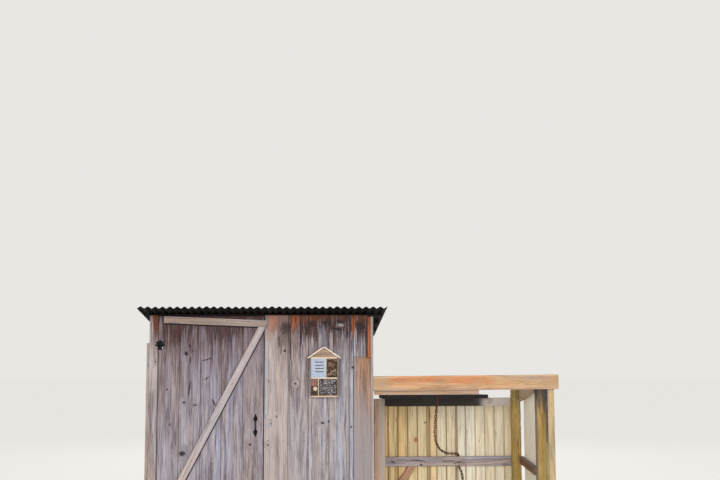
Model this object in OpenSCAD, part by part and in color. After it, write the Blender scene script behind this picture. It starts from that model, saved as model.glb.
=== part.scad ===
/* [House] */
// Width over the corner posts, left to right
house_w = 2126; // [1900:10:2600]
// Depth from the face of the front boards to the face of the back boards
house_d = 1500; // [1300:10:2000]
// Height of the rafter tops at the front face, above the ground
front_h = 2184; // [2100:5:2500]
// Fall of the roof over each metre of depth
roof_fall = 125; // [80:5:180]
// Thickness of the front, back and door boards
board_t = 22; // [16:1:30]
// Thickness of the side boards
side_board_t = 24; // [16:1:30]
// Height of the wall boards' lower ends above the ground
skirt_z = 30; // [15:5:60]
// Open seam between two boards
seam = 2; // [1:0.5:5]
// Side of the square posts and plates
post = 90; // [80:5:110]
// Height of the skids
skid_h = 90; // [70:5:130]
// Thickness of the floor boards
floor_t = 25; // [18:1:40]
// Width of one floor board
floor_board_w = 150; // [100:10:220]
// Width of one board of the side and back walls
wall_board_w = 196; // [150:2:240]
// Level top of the left wall below the roof line, which leaves a vent under the roof
left_wall_drop = 254; // [234:5:269]
// Thickness of the girts
girt_t = 38; // [30:1:60]
// Depth of the girts
girt_h = 90; // [70:5:120]
// Underside of the girts half way up the walls
girt_z = 955; // [800:5:1200]

/* [Roof] */
// Depth of a rafter, square to the roof
rafter_h = 90; // [80:5:120]
// Width of a rafter
rafter_w = 38; // [30:1:60]
// Number of rafters
rafter_n = 4; // [3:1:6]
// Thickness of a purlin
purlin_t = 25; // [18:1:40]
// Width of a purlin
purlin_w = 90; // [60:5:110]
// Number of purlins
purlin_n = 4; // [3:1:6]
// Ends of the purlins inside the edges of the roof
purlin_in = 28; // [6:2:28]
// Front boards past the rafter tops, in front of the first purlin
board_rise = 14; // [4:1:20]
// Roof past the front boards
roof_front = 300; // [200:10:450]
// Roof past the back boards
roof_back = 120; // [60:10:200]
// Roof past the left wall
roof_left = 54; // [30:2:100]
// Roof past the right wall
roof_right = 122; // [60:2:140]
// Distance from one corrugation to the next
wave_pitch = 68; // [60:1:80]
// Height of a corrugation
wave_h = 18; // [14:1:24]
// Corrugations that one sheet covers
sheet_waves = 9; // [7:1:11]
// Thickness of a sheet
sheet_t = 2; // [1.5:0.5:3]
// Play between two lapped sheets
lap_play = 0.4; // [0.3:0.1:1]

/* [Front wall] */
// Width of the narrow board at the left corner
corner_board_w = 82; // [75:1:110]
// Width of the first fixed board, beside the door
first_board_w = 227; // [180:1:240]
// Number of equal boards that follow it
fixed_board_n = 3; // [2:1:4]
// Width of the narrow strip left of the corner boards
fixed_strip_w = 38; // [20:2:60]
// Width of the lower of the two right corner boards
corner_patch_w = 164; // [120:2:200]
// Joint of the two right corner boards, below the roof line
patch_drop = 393; // [300:1:500]
// Bare post left showing beside the upper corner board
bare_post_w = 30; // [10:2:50]
// Width of the lath beside the door
lath_w = 34; // [25:1:40]
// Thickness of the lath
lath_t = 8; // [5:1:12]
// Upper end of the lath below the roof line
lath_drop = 234; // [150:2:300]
// Length of the lath
lath_len = 735; // [500:1:800]

/* [Door] */
// Width of one door board
door_board_w = 199; // [180:1:210]
// Number of door boards
door_board_n = 5; // [4:1:5]
// Gap between the door and what stands beside it
door_gap = 8; // [6:1:12]
// Room between the back of the door and its posts
door_play = 5; // [5:0.5:8]
// Lower end of the door
door_z = 70; // [50:5:100]
// Gap between the top of the door and the roof line
door_head_gap = 12; // [8:1:40]
// Width of the ledges and the brace
ledge_w = 66; // [50:2:100]
// Thickness of the ledges and the brace
ledge_t = 25; // [18:1:35]
// Left end of the ledges, from the door's edge
ledge_inset = 47; // [20:1:60]
// Right end of the top ledge, past the door's edge
ledge_past = 28; // [0:1:35]
// Drop of the top ledge from its left to its right end
ledge_drop = 40; // [0:1:60]
// Top of the lower ledge
low_ledge_top = 276; // [200:2:350]
// Foot of the brace, from the door's left edge
brace_foot = 10; // [5:1:40]
// Height of the upper hinge
hinge_high_z = 1910; // [1700:2:1980]
// Height of the lower hinge
hinge_low_z = 470; // [420:2:600]
// Reach of the hinge's points from the middle of its plates
hinge_reach = 52; // [40:1:70]
// Middle of the hinge's plates, right of its pin
hinge_in = 17; // [0:1:24]
// Thickness of the hinge plates
hinge_t = 3; // [2:0.5:4]
// Radius of the hinge knuckles
knuckle_r = 6; // [5:0.5:8]
// Radius of the hinge pin
pin_r = 3; // [2.5:0.5:4]
// Length of the hinge pin
pin_len = 76; // [60:2:90]
// Height of the knuckle on the door's side
knuckle_h = 34; // [24:2:40]
// Play between pin and knuckle
pin_play = 0.05; // [0.03:0.01:0.1]
// Height of the middle of the latch
latch_z = 1145; // [1000:1:1300]
// Latch from the door's right edge
latch_in = 74; // [60:1:140]
// Length of the latch over its two plates
latch_len = 236; // [180:2:280]
// Radius of the latch's grip
grip_r = 6; // [4:0.5:9]
// Reach of the grip in front of the door
grip_reach = 38; // [28:1:55]

/* [Insect house] */
// Middle of the insect house, from the middle of the wall
bug_x = 610; // [400:2:700]
// Underside of the insect house below the roof line
bug_low = 770; // [650:2:900]
// Width of the insect house
bug_w = 272; // [240:2:300]
// Depth of the insect house
bug_d = 85; // [60:1:110]
// Height of its side walls
bug_wall_h = 376; // [340:2:420]
// Height of its gable over the side walls
bug_gable_h = 104; // [70:2:130]
// Thickness of its boards
bug_t = 12; // [9:1:15]
// Thickness of its roof boards
bug_roof_t = 11; // [8:1:14]
// Roof boards past the side walls
bug_eaves = 16; // [8:1:30]
// Height of the shelf over the underside
bug_shelf_h = 172; // [140:2:200]
// Width of the panel with slots
bug_panel_w = 138; // [110:2:150]
// Width of the block beside the twigs
bug_block_w = 66; // [50:2:80]
// Diameter of one cane
cane_d = 17; // [13:0.5:22]
// Diameter of one twig
twig_d = 22; // [18:0.5:28]

/* [Lean-to] */
// Length of the header
header_len = 1810; // [1500:10:2100]
// Underside of the header at the house
header_z = 1463; // [1440:1:1550]
// Rise of the header to its free end
header_rise = 12; // [0:1:30]
// Depth of the header
header_h = 142; // [120:1:160]
// Thickness of the header, rails and planks
stud_t = 38; // [30:1:50]
// Distance from the header's face to the back boards
bay_d = 900; // [750:10:1100]
// Ledger's length
ledger_len = 1020; // [980:10:1200]
// Part of the ledger that hangs below the header
ledger_drop = 38; // [20:1:45]
// Depth of the ledger
ledger_h = 90; // [70:5:120]
// Gap between the house and the left post
bay_gap = 62; // [40:1:120]
// Width of the left post
left_post_w = 110; // [80:2:140]
// Depth of the left post and of the trim post
post_depth = 90; // [70:2:110]
// Top of the left post
left_post_top = 1352; // [1300:2:1356]
// Side of the front post
front_post_w = 106; // [90:1:130]
// Header past the front post
header_past = 104; // [80:1:140]
// Width of the trim post outside the front post
trim_w = 66; // [40:1:80]
// Top of the posts behind the header
front_post_top = 1590; // [1560:5:1600]
// Diameter of the round post
round_d = 108; // [100:1:120]
// Top of the round post
round_top = 1560; // [1500:5:1610]
// Depth of the top rail on the back
top_rail_h = 86; // [70:1:100]
// Top of the top rail on the back
top_rail_z = 1358; // [1356:1:1380]
// Depth of the middle rail on the back
mid_rail_h = 97; // [70:1:110]
// Underside of the middle rail on the back
mid_rail_z = 654; // [550:2:800]
// Width of a lean-to board
bay_board_w = 100; // [80:1:140]
// Thickness of the lean-to's boards
bay_board_t = 20; // [14:1:25]
// Depth of the side's top rail
side_rail_h = 140; // [110:1:160]
// Underside of the side's top rail at the front post
side_rail_z = 1448; // [1430:1:1450]
// Fall of the side's top rail over each metre
side_rail_fall = 190; // [100:1:200]
// Depth of the side's middle rail
side_mid_h = 80; // [60:1:100]
// Top of the side's middle rail at the front post
side_mid_z = 718; // [600:1:800]
// Width of the knee brace
knee_w = 68; // [50:1:90]
// Run of the knee brace along the middle rail
knee_run = 288; // [200:2:350]
// Rise of the knee brace along the post
knee_rise = 412; // [300:2:440]
// Width of a roof plank
plank_w = 160; // [130:2:180]
// Gap between two planks
plank_gap = 6; // [3:1:10]
// Wider gap that the chain hangs through
chain_gap = 62; // [50:2:80]
// Inner face of the side boards, from the front post's inner side
side_in = 18; // [15:1:40]

/* [Chain] */
// Chain's nail, from the house
nail_in = 640; // [600:5:660]
// Where the chain goes behind the middle rail, from the house
notch_in = 950; // [900:5:1000]
// Free end of the chain above the ground
chain_end = 350; // [250:10:450]
// Thickness of a link's wire
wire_d = 7; // [5:0.5:7.5]
// Width of a link
link_w = 27; // [25:0.5:28]
// Inner length of a link
link_in = 34; // [32:1:40]
// Play between two links
link_play = 0.4; // [0.2:0.1:0.5]

/* [Hidden] */
$fn = 48;

// House faces
y_front = -house_d / 2;
y_back = house_d / 2;
y_frame = y_front + board_t;
x_frame = house_w / 2;
x_side = x_frame + side_board_t;
left_wall_top = front_h - left_wall_drop;
fall = roof_fall / 1000;
roof_angle = atan(fall);
rafter_drop = rafter_h / cos(roof_angle);

// Plates carry the rafters on level seats
front_plate_top = roof_z(y_frame) - rafter_drop + 3;
back_plate_top = roof_z(-y_frame - post) - rafter_drop;

// Door
door_x0 = -x_frame + corner_board_w + door_gap;
door_w = door_board_n * (door_board_w + seam) - seam;
door_x1 = door_x0 + door_w;
door_y = y_front - door_play;
door_top = roof_z(y_front) + board_rise - door_head_gap;
hinge_x = door_x0 - door_gap / 2;
hinge_y = door_y - hinge_t - knuckle_r;
fixed_x0 = door_x1 + door_gap;
door_post_x0 = door_x1 - 20;
ledge_x0 = door_x0 + ledge_inset;
ledge_x1 = door_x1 + ledge_past;
low_ledge_x1 = door_x1 - ledge_inset;
foot_x = door_x0 + brace_foot;

// Right side of the front wall
patch_top = front_h - patch_drop;
patch_x0 = x_frame - seam - corner_patch_w;
strip_x0 = patch_x0 - seam - fixed_strip_w;
equal_x0 = fixed_x0 + first_board_w + seam;
equal_step = (strip_x0 - equal_x0) / fixed_board_n;
bug_z = front_h - bug_low;
bug_back = 6;
bug_divider = 8;
lath_z = front_h - lath_drop - lath_len;

// Lean-to
bay_x0 = x_side;
header_back = y_front + stud_t;
bay_face = y_front + bay_d;
left_post_x0 = bay_x0 + bay_gap;
left_post_x1 = left_post_x0 + left_post_w;
front_post_x1 = bay_x0 + header_len - header_past;
front_post_x0 = front_post_x1 - front_post_w;
front_post_back = header_back + front_post_w;
side_x = front_post_x0 + side_in;
side_mid_rise = 0.06;
round_x = side_x - 10 - round_d / 2;
round_y = bay_face - round_d / 2;
ledger_x0 = bay_x0 + 13;
ledger_z = header_z - ledger_drop;
rail_face = bay_face - stud_t;
rail_x1 = round_x - round_d / 2 + 22;
side_rail_back = round_y - round_d / 4;
side_boards_back = round_y - round_d / 2 - 45;

// Chain, from its nail behind the ledger to its free end
nail_r = 2.5;
nail_x = bay_x0 + nail_in;
nail_y = header_back + stud_t + 19;
nail_z = ledger_z + 26;
link_step = link_in - link_play;
link_r = (link_w - wire_d) / 2;
link_half = (link_in + wire_d) / 2 - link_r;
behind_rail_y = bay_face - 13;
rail_top = mid_rail_z + mid_rail_h;
tail = mid_rail_z - chain_end;
notch_x = bay_x0 + notch_in;
chain_start = [nail_x, nail_y, nail_z + nail_r + link_play / 2];
chain_span = [notch_x, behind_rail_y, rail_top] - chain_start;

// Free part of the chain as shares of its span, then its way over and behind the rail
chain_route = concat(
    [for (q = [
        [0, 0, 0], [-0.003, 0.01, 0.07], [-0.02, 0.07, 0.18], [-0.04, 0.18, 0.39], [-0.02, 0.32, 0.58],
        [0.06, 0.46, 0.74], [0.24, 0.61, 0.86], [0.49, 0.76, 0.925]
    ]) [chain_start[0] + q[0] * chain_span[0], chain_start[1] + q[1] * chain_span[1],
        chain_start[2] + q[2] * chain_span[2]]],
    [
        [notch_x - 60, bay_face - 90, rail_top + 36],
        [notch_x - 14, rail_face, rail_top + 31],
        [notch_x, behind_rail_y - 1, rail_top + 16],
        [notch_x, behind_rail_y, rail_top - 22],
        [notch_x, behind_rail_y, mid_rail_z + 8],
        [notch_x + 8, behind_rail_y, mid_rail_z - 0.07 * tail],
        [notch_x + 32, behind_rail_y, mid_rail_z - 0.23 * tail],
        [notch_x + 40, behind_rail_y, mid_rail_z - 0.43 * tail],
        [notch_x + 42, behind_rail_y, chain_end]
    ]
);

// Height of the rafter tops at a depth
function roof_z(y) = front_h - fall * (y - y_front);
// Length of a route up to a point, and a place on it by its length
function run(p, k) = k == 0 ? 0 : run(p, k - 1) + norm(p[k] - p[k - 1]);
function at(p, s, k = 1) =
    (k == len(p) - 1 || s <= norm(p[k] - p[k - 1]))
        ? p[k - 1] + (p[k] - p[k - 1]) * (s / norm(p[k] - p[k - 1]))
        : at(p, s - norm(p[k] - p[k - 1]), k + 1);

// Block between two opposite corners
module block(lo, hi) {
    translate(lo)
        cube(hi - lo);
}

// Outline in X and Z, made solid towards the front from a depth
module face_piece(outline, y, t) {
    translate([0, y, 0])
        rotate([90, 0, 0])
            linear_extrude(t)
                polygon(outline);
}

// Outline in Y and Z, made solid to the right from a width
module side_piece(outline, x, t) {
    translate([x, 0, 0])
        rotate([90, 0, 90])
            linear_extrude(t)
                polygon(outline);
}

// Upright board with eased edges
module board(x, y, w, t, z0, z1) {
    e = 1.5;
    translate([x, y, z0])
        linear_extrude(z1 - z0)
            polygon([
                [e, 0], [w - e, 0], [w, e], [w, t - e], [w - e, t], [e, t], [0, t - e], [0, e]
            ]);
}

// Wall of close boards along X, with a groove at each seam on both faces
module boarded(length, t, h, board_w) {
    n = max(1, round(length / board_w));
    w = length / n;
    g = seam;
    front = [for (i = [1:n - 1], s = [-1, 0, 1]) [i * w + s * g, s == 0 ? g : 0]];
    back = [for (i = [n - 1:-1:1], s = [1, 0, -1]) [i * w + s * g, s == 0 ? t - g : t]];
    linear_extrude(h)
        polygon(concat([[0, 0]], front, [[length, 0], [length, t]], back, [[0, t]]));
}

// Everything above the rafter tops, or above a plane over them
module above_roof(rise = 0) {
    far = house_w + house_d;
    translate([0, y_front, front_h + rise])
        rotate([-roof_angle, 0, 0])
            translate([-far, -far, 0])
                cube([2 * far, 3 * far, far]);
}

// Places its children on the plane of the rafter tops, with Y running back
module on_roof() {
    translate([0, y_front, front_h])
        rotate([-roof_angle, 0, 0])
            children();
}

module skids() {
    color("#6f6259")
        for (y = [y_frame, -post / 2, -y_frame - post])
            block([-x_frame, y, 0], [x_frame, y + post, skid_h]);
}

module post_squares(grow, z0, z1) {
    for (x = [-x_frame, x_frame - post], y = [y_frame, -y_frame - post])
        block([x - grow, y - grow, z0], [x + post + grow, y + post + grow, z1]);
    block([door_post_x0 - grow, y_frame - grow, z0],
        [door_post_x0 + post + grow, y_frame + post + grow, z1]);
}

module floor_boards() {
    color("#8a7f78")
        difference() {
            translate([-x_frame, y_frame, skid_h])
                boarded(house_w, -2 * y_frame, floor_t, floor_board_w);
            post_squares(1, skid_h - 1, skid_h + floor_t + 1);
        }
}

module corner_posts() {
    color("#a5714a")
        for (x = [-x_frame, x_frame - post]) {
            block([x, y_frame, skid_h], [x + post, y_frame + post, front_plate_top - post]);
            block([x, -y_frame - post, skid_h], [x + post, -y_frame, back_plate_top - post]);
        }
}

module door_post() {
    color("#8a6a50")
        block([door_post_x0, y_frame, skid_h],
            [door_post_x0 + post, y_frame + post, front_plate_top - post]);
}

module top_plates() {
    color("#7d6553") {
        block([-x_frame, y_frame, front_plate_top - post], [x_frame, y_frame + post, front_plate_top]);
        block([-x_frame, -y_frame - post, back_plate_top - post], [x_frame, -y_frame, back_plate_top]);
    }
}

module wall_girts() {
    y_in = -y_frame - post;
    color("#85705f") {
        for (z = [girt_z, back_plate_top - post - 30]) {
            block([-x_frame, -y_in, z], [-x_frame + girt_t, y_in, z + girt_h]);
            block([x_frame - girt_t, -y_in, z], [x_frame, y_in, z + girt_h]);
        }
        block([-x_frame + post, -y_frame - girt_t, girt_z], [x_frame - post, -y_frame, girt_z + girt_h]);
        block([door_post_x0 + post, y_frame, girt_z], [x_frame - post, y_frame + girt_t, girt_z + girt_h]);
    }
}

module front_wall_right() {
    top = front_h + board_rise + 10;
    upper_w = x_frame - bare_post_w - patch_x0;
    color("#a59d9e")
        difference() {
            union() {
                board(fixed_x0, y_front, first_board_w, board_t, skirt_z, top);
                for (k = [0:fixed_board_n - 1])
                    board(equal_x0 + k * equal_step, y_front, equal_step - seam, board_t, skirt_z, top);
                board(strip_x0, y_front, fixed_strip_w, board_t, skirt_z, top);
                board(patch_x0, y_front, upper_w, board_t, patch_top + seam, top);
            }
            above_roof(board_rise);
        }
}

module corner_patch_board() {
    color("#a0826f")
        board(patch_x0, y_front, corner_patch_w, board_t, skirt_z, patch_top);
}

module front_corner_board() {
    color("#a08f88")
        difference() {
            board(-x_frame, y_front, corner_board_w, board_t, skirt_z, front_h + board_rise + 10);
            above_roof(board_rise);
        }
}

module left_wall() {
    color("#aa9f98")
        translate([-x_frame, y_front, skirt_z])
            rotate([0, 0, 90])
                boarded(house_d, side_board_t, left_wall_top - skirt_z, wall_board_w);
}

module right_wall() {
    color("#b4a394")
        difference() {
            translate([x_side, y_front, skirt_z])
                rotate([0, 0, 90])
                    boarded(house_d, side_board_t, front_h - skirt_z + 10, wall_board_w);
            above_roof();
        }
}

module back_wall() {
    color("#9b9290")
        difference() {
            translate([-x_frame, y_back - board_t, skirt_z])
                boarded(house_w, board_t, front_h - skirt_z + 10, wall_board_w);
            above_roof();
        }
}

module jamb_lath() {
    x0 = fixed_x0 + 4;
    x1 = x0 + lath_w;
    color("#b2afb3")
        face_piece([
            [x0, lath_z], [x0 + lath_w * 0.35, lath_z + 26], [x0 + lath_w * 0.6, lath_z + 8],
            [x1, lath_z + 44], [x1, lath_z + lath_len], [x0, lath_z + lath_len]
        ], y_front, lath_t);
}

module rafters() {
    y0 = y_frame;
    y1 = -y_frame;
    step = (house_w - rafter_w) / (rafter_n - 1);
    color("#57483e")
        difference() {
            for (i = [0:rafter_n - 1])
                side_piece([
                    [y0, roof_z(y0) - rafter_drop], [y1, roof_z(y1) - rafter_drop],
                    [y1, roof_z(y1)], [y0, roof_z(y0)]
                ], -x_frame + i * step, rafter_w);
            block([-x_side, y_frame - 1, 0], [x_side, y_frame + post, front_plate_top]);
            block([-x_side, -y_frame - post, 0], [x_side, -y_frame + 1, back_plate_top]);
        }
}

module purlins() {
    first = (board_t + 0.5) / cos(roof_angle);
    last = house_d / cos(roof_angle) - purlin_w;
    step = (last - first) / (purlin_n - 1);
    x0 = -x_side - roof_left + purlin_in;
    x1 = x_side + roof_right - purlin_in;
    color("#4c4038")
        on_roof()
            for (i = [0:purlin_n - 1])
                block([x0, first + i * step, 0], [x1, first + i * step + purlin_w, purlin_t]);
}

// Underside of a sheet: its left wave is lifted onto the sheet before it
function sheet_low(x, x0, first) =
    let (lift = first ? 0 : (sheet_t + lap_play) * max(0, min(1, 2 - (x - x0) / wave_pitch)))
    wave_h / 2 * (1 - cos(360 * x / wave_pitch)) + lift;

module roof_sheets() {
    x_left = -x_side - roof_left;
    total = 2 * x_side + roof_left + roof_right;
    cover = sheet_waves * wave_pitch;
    sheets = ceil(total / cover);
    s_front = -roof_front / cos(roof_angle);
    s_back = (house_d + roof_back) / cos(roof_angle);
    color("#2b2523")
        on_roof()
            translate([x_left, s_back, purlin_t])
                rotate([90, 0, 0])
                    for (k = [0:sheets - 1]) {
                        x0 = k * cover;
                        x1 = min(total, x0 + cover + wave_pitch);
                        xs = concat([for (x = [x0:wave_pitch / 8:x1 - 1]) x], [x1]);
                        low = [for (x = xs) [x, sheet_low(x, x0, k == 0)]];
                        high = [for (i = [len(low) - 1:-1:0]) low[i] + [0, sheet_t]];
                        linear_extrude(s_back - s_front)
                            polygon(concat(low, high));
                    }
}

module door_leaf() {
    color("#9a9297")
        for (i = [0:door_board_n - 1])
            board(door_x0 + i * (door_board_w + seam), door_y, door_board_w, board_t, door_z, door_top);
}

// Underside of the top ledge
function ledge_under(x) = door_top - ledge_w - ledge_drop * (x - ledge_x0) / (ledge_x1 - ledge_x0);

module door_ledges() {
    color("#b5a79b") {
        face_piece([
            [ledge_x0, ledge_under(ledge_x0)], [ledge_x1, ledge_under(ledge_x1)],
            [ledge_x1, ledge_under(ledge_x1) + ledge_w], [ledge_x0, ledge_under(ledge_x0) + ledge_w]
        ], door_y, ledge_t);
        face_piece([
            [foot_x, low_ledge_top - ledge_w], [low_ledge_x1, low_ledge_top - ledge_w],
            [low_ledge_x1, low_ledge_top], [foot_x, low_ledge_top]
        ], door_y, ledge_t);
    }
}

module door_brace() {
    top_x = ledge_x1 - 8;
    rise = ledge_under(top_x) - low_ledge_top;
    foot_w = ledge_w / cos(atan((top_x - foot_x - ledge_w) / rise));
    lean = (top_x - foot_x - foot_w) / rise;
    tilt = ledge_drop / (ledge_x1 - ledge_x0);
    left_rise = (ledge_under(foot_x) - low_ledge_top) / (1 + tilt * lean);
    color("#b9b2ae")
        face_piece([
            [foot_x, low_ledge_top], [foot_x + foot_w, low_ledge_top],
            [top_x, ledge_under(top_x) - 0.2], [foot_x + lean * left_rise, low_ledge_top + left_rise - 0.2]
        ], door_y, ledge_t);
}

// Part of a pointed ornamental hinge plate, between two distances from the pin
module hinge_plate(from, to) {
    points = 5;
    intersection() {
        translate([hinge_in, 0, 0])
            for (m = [0, 1])
                mirror([m, 0, 0]) {
                    scale([0.52, 0.86, 1])
                        cylinder(r = hinge_reach * 0.72, h = hinge_t);
                    for (i = [0:points - 1])
                        rotate([0, 0, -78 + i * 39])
                            linear_extrude(hinge_t)
                                polygon([
                                    [0, -7], [hinge_reach * 0.78, -9], [hinge_reach, 0],
                                    [hinge_reach * 0.78, 9], [0, 7]
                                ]);
                }
        translate([from, -2 * hinge_reach, -1])
            cube([to - from, 4 * hinge_reach, hinge_t + 2]);
    }
}

module hinge_door_plates() {
    color("#2a2a33")
        for (z = [hinge_low_z, hinge_high_z]) {
            translate([hinge_x, door_y, z])
                rotate([90, 0, 0])
                    hinge_plate(knuckle_r + 2, 2 * hinge_reach);
            difference() {
                union() {
                    translate([hinge_x, hinge_y, z - knuckle_h / 2])
                        cylinder(r = knuckle_r, h = knuckle_h);
                    block([hinge_x + 2, hinge_y, z - knuckle_h / 2],
                        [hinge_x + 2 * knuckle_r, door_y, z + knuckle_h / 2]);
                }
                translate([hinge_x, hinge_y, z - knuckle_h / 2 - 1])
                    cylinder(r = pin_r + pin_play, h = knuckle_h + 2);
            }
        }
}

module hinge_frame_plates() {
    end_h = (pin_len - knuckle_h) / 2 - 0.5;
    color("#2a2a33")
        for (z = [hinge_low_z, hinge_high_z]) {
            translate([hinge_x, y_front, z])
                rotate([90, 0, 0])
                    hinge_plate(-2 * hinge_reach, -3);
            translate([hinge_x, hinge_y, z - pin_len / 2])
                cylinder(r = pin_r, h = pin_len);
            for (s = [-pin_len / 2, pin_len / 2 - end_h]) {
                translate([hinge_x, hinge_y, z + s])
                    cylinder(r = knuckle_r, h = end_h);
                block([hinge_x - knuckle_r, hinge_y, z + s], [hinge_x - 3, y_front, z + s + end_h]);
            }
        }
}

// Flat iron leaf that narrows to a point
module spade(w, h, t) {
    rotate([90, 0, 0])
        linear_extrude(t)
            polygon([
                [-w * 0.2, 0], [w * 0.2, 0], [w * 0.5, h * 0.28], [w * 0.42, h * 0.5],
                [0, h], [-w * 0.42, h * 0.5], [-w * 0.5, h * 0.28]
            ]);
}

module latch_handle() {
    x = door_x1 - latch_in;
    plate_h = 72;
    bend = 14;
    low = latch_z - latch_len / 2 + plate_h - 8;
    high = latch_z + latch_len / 2 - plate_h + 8;
    color("#3a3a42") {
        translate([x, door_y, high - 16])
            spade(40, plate_h, 4);
        translate([x, door_y, low + 16])
            mirror([0, 0, 1])
                spade(40, plate_h, 4);
        translate([x, door_y - 3.9, low]) {
            for (s = [0, high - low])
                translate([0, 0, s])
                    rotate([90, 0, 0])
                        cylinder(r = grip_r, h = grip_reach - bend - 4);
            translate([0, 4 - grip_reach, bend])
                cylinder(r = grip_r, h = high - low - 2 * bend);
            for (s = [0, 1])
                translate([0, bend + 4 - grip_reach, s == 0 ? bend : high - low - bend])
                    rotate([0, 90, 0])
                        rotate([0, 0, s == 0 ? -90 : 180])
                            rotate_extrude(angle = 90)
                                translate([bend, 0])
                                    circle(r = grip_r);
        }
    }
}

module latch_keeper() {
    x = fixed_x0 + lath_w + 10;
    color("#4a4648")
        difference() {
            block([x, y_front - 12, latch_z - 20], [x + 26, y_front, latch_z + 56]);
            block([x - 1, y_front - 8, latch_z - 4], [x + 27, y_front + 1, latch_z + 40]);
        }
}

// Insect house: X from its left side, Z from its underside
module on_bug() {
    translate([bug_x - bug_w / 2, y_front, bug_z])
        children();
}

// Opening of the insect house's box, from X and Z to X and Z
module bug_bay(lo, hi) {
    block([lo[0], -bug_d - 1, lo[1]], [hi[0], -bug_back, hi[1]]);
}

module insect_house_box() {
    right = bug_w - bug_t;
    low_x = bug_t + bug_block_w;
    high_x = bug_t + bug_panel_w;
    high_z = bug_shelf_h + bug_t;
    ridge = bug_wall_h + bug_gable_h - bug_roof_t;
    color("#c3b38e")
        on_bug()
            difference() {
                face_piece([
                    [0, 0], [bug_w, 0], [bug_w, bug_wall_h], [bug_w / 2, ridge], [0, bug_wall_h]
                ], 0, bug_d);
                bug_bay([bug_t, bug_t], [low_x, bug_shelf_h]);
                bug_bay([low_x + bug_divider, bug_t], [right, bug_shelf_h]);
                bug_bay([bug_t, high_z], [high_x, bug_wall_h - bug_t]);
                bug_bay([high_x + bug_divider, high_z], [right, bug_wall_h - bug_t]);
            }
}

module insect_house_roof() {
    half = bug_w / 2;
    low_x = half + bug_eaves;
    ridge = bug_wall_h + bug_gable_h - bug_roof_t + 0.2;
    low_z = ridge - (bug_gable_h - bug_roof_t) * low_x / half;
    thick = bug_roof_t * 1.2;
    color("#e3cf9a")
        on_bug()
            for (s = [0, 1])
                translate([half, 0, 0])
                    mirror([s, 0, 0])
                        face_piece([
                            [0.2, ridge], [low_x, low_z], [low_x, low_z + thick], [0.2, ridge + thick]
                        ], 0, bug_d + 8);
}

module insect_house_panel() {
    z0 = bug_shelf_h + bug_t;
    z1 = bug_wall_h - bug_t;
    slots = 4;
    slot_h = 9;
    step = (z1 - z0) * 0.17;
    color("#ccd0da")
        on_bug()
            difference() {
                block([bug_t, -bug_d + 4, z0], [bug_t + bug_panel_w, -bug_d + 14, z1]);
                for (i = [0:slots - 1])
                    translate([bug_t + bug_panel_w * 0.28, -bug_d, z0 + (z1 - z0) * 0.28 + i * step])
                        cube([bug_panel_w * 0.58, 20, slot_h]);
            }
}

// Round stems that fill a box, lying from its back to its front
module stems(x0, x1, z0, z1, d, bore, long, short) {
    step = d + 0.4;
    rows = floor((z1 - z0 - 0.6) / step);
    cols = floor((x1 - x0 - 0.6) / step);
    for (r = [0:rows - 1], c = [0:cols - 1]) {
        h = (r * 7 + c * 5) % 3 == 0 ? short : long;
        translate([x0 + 0.3 + step * (c + 0.5), -bug_back, z0 + 0.3 + step * (r + 0.5)])
            rotate([90, 0, 0])
                difference() {
                    cylinder(d = d, h = h);
                    translate([0, 0, h - 12])
                        cylinder(d = bore, h = 13);
                }
    }
}

module insect_house_canes() {
    color("#8c6c54")
        on_bug()
            stems(bug_t + bug_panel_w + bug_divider, bug_w - bug_t, bug_shelf_h + bug_t, bug_wall_h - bug_t,
                cane_d, cane_d * 0.5, bug_d - bug_back - 4, bug_d - bug_back - 9);
}

module insect_house_twigs() {
    color("#77706f")
        on_bug()
            stems(bug_t + bug_block_w + bug_divider, bug_w - bug_t, bug_t, bug_shelf_h,
                twig_d, twig_d * 0.2, bug_d - bug_back - 3, bug_d - bug_back - 11);
}

module insect_house_block() {
    log_d = bug_block_w * 0.62;
    color("#8d6c62")
        on_bug() {
            block([bug_t, -bug_d + 6, bug_t + log_d + 8], [bug_t + bug_block_w, -bug_back, bug_shelf_h]);
            translate([bug_t + bug_block_w / 2, -bug_back, bug_t + log_d / 2 + 0.3])
                rotate([90, 0, 0])
                    cylinder(d = log_d, h = bug_d - bug_back - 4);
        }
}

module bay_header() {
    color("#cf9a6c")
        face_piece([
            [bay_x0, header_z], [bay_x0 + header_len, header_z + header_rise],
            [bay_x0 + header_len, header_z + header_rise + header_h], [bay_x0, header_z + header_h]
        ], header_back, stud_t);
}

module bay_ledger() {
    color("#c9a878")
        block([ledger_x0, header_back, ledger_z],
            [ledger_x0 + ledger_len, header_back + stud_t, ledger_z + ledger_h]);
}

module bay_front_post() {
    color("#a68a51")
        block([front_post_x0, header_back, 0], [front_post_x1, front_post_back, front_post_top]);
}

module bay_corner_trim() {
    color("#c1a981")
        block([front_post_x1, header_back, 0],
            [front_post_x1 + trim_w, header_back + post_depth, front_post_top]);
}

module bay_left_post() {
    color("#b59f8b")
        block([left_post_x0, bay_face - post_depth, 0], [left_post_x1, bay_face, left_post_top]);
}

module bay_round_post() {
    color("#927849")
        difference() {
            translate([round_x, round_y, 0])
                cylinder(d = round_d, h = round_top);
            back_rail_blocks();
            side_rail_blocks();
        }
}

module back_rail_blocks() {
    block([left_post_x1, rail_face, mid_rail_z], [rail_x1, bay_face, rail_top]);
    block([left_post_x1, rail_face, top_rail_z - top_rail_h], [rail_x1, bay_face, top_rail_z]);
}

module bay_back_rails() {
    color("#978780")
        difference() {
            back_rail_blocks();
            block([notch_x - 30, bay_face - 27, mid_rail_z - 1], [notch_x + 36, bay_face + 1, rail_top + 1]);
        }
}

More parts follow.
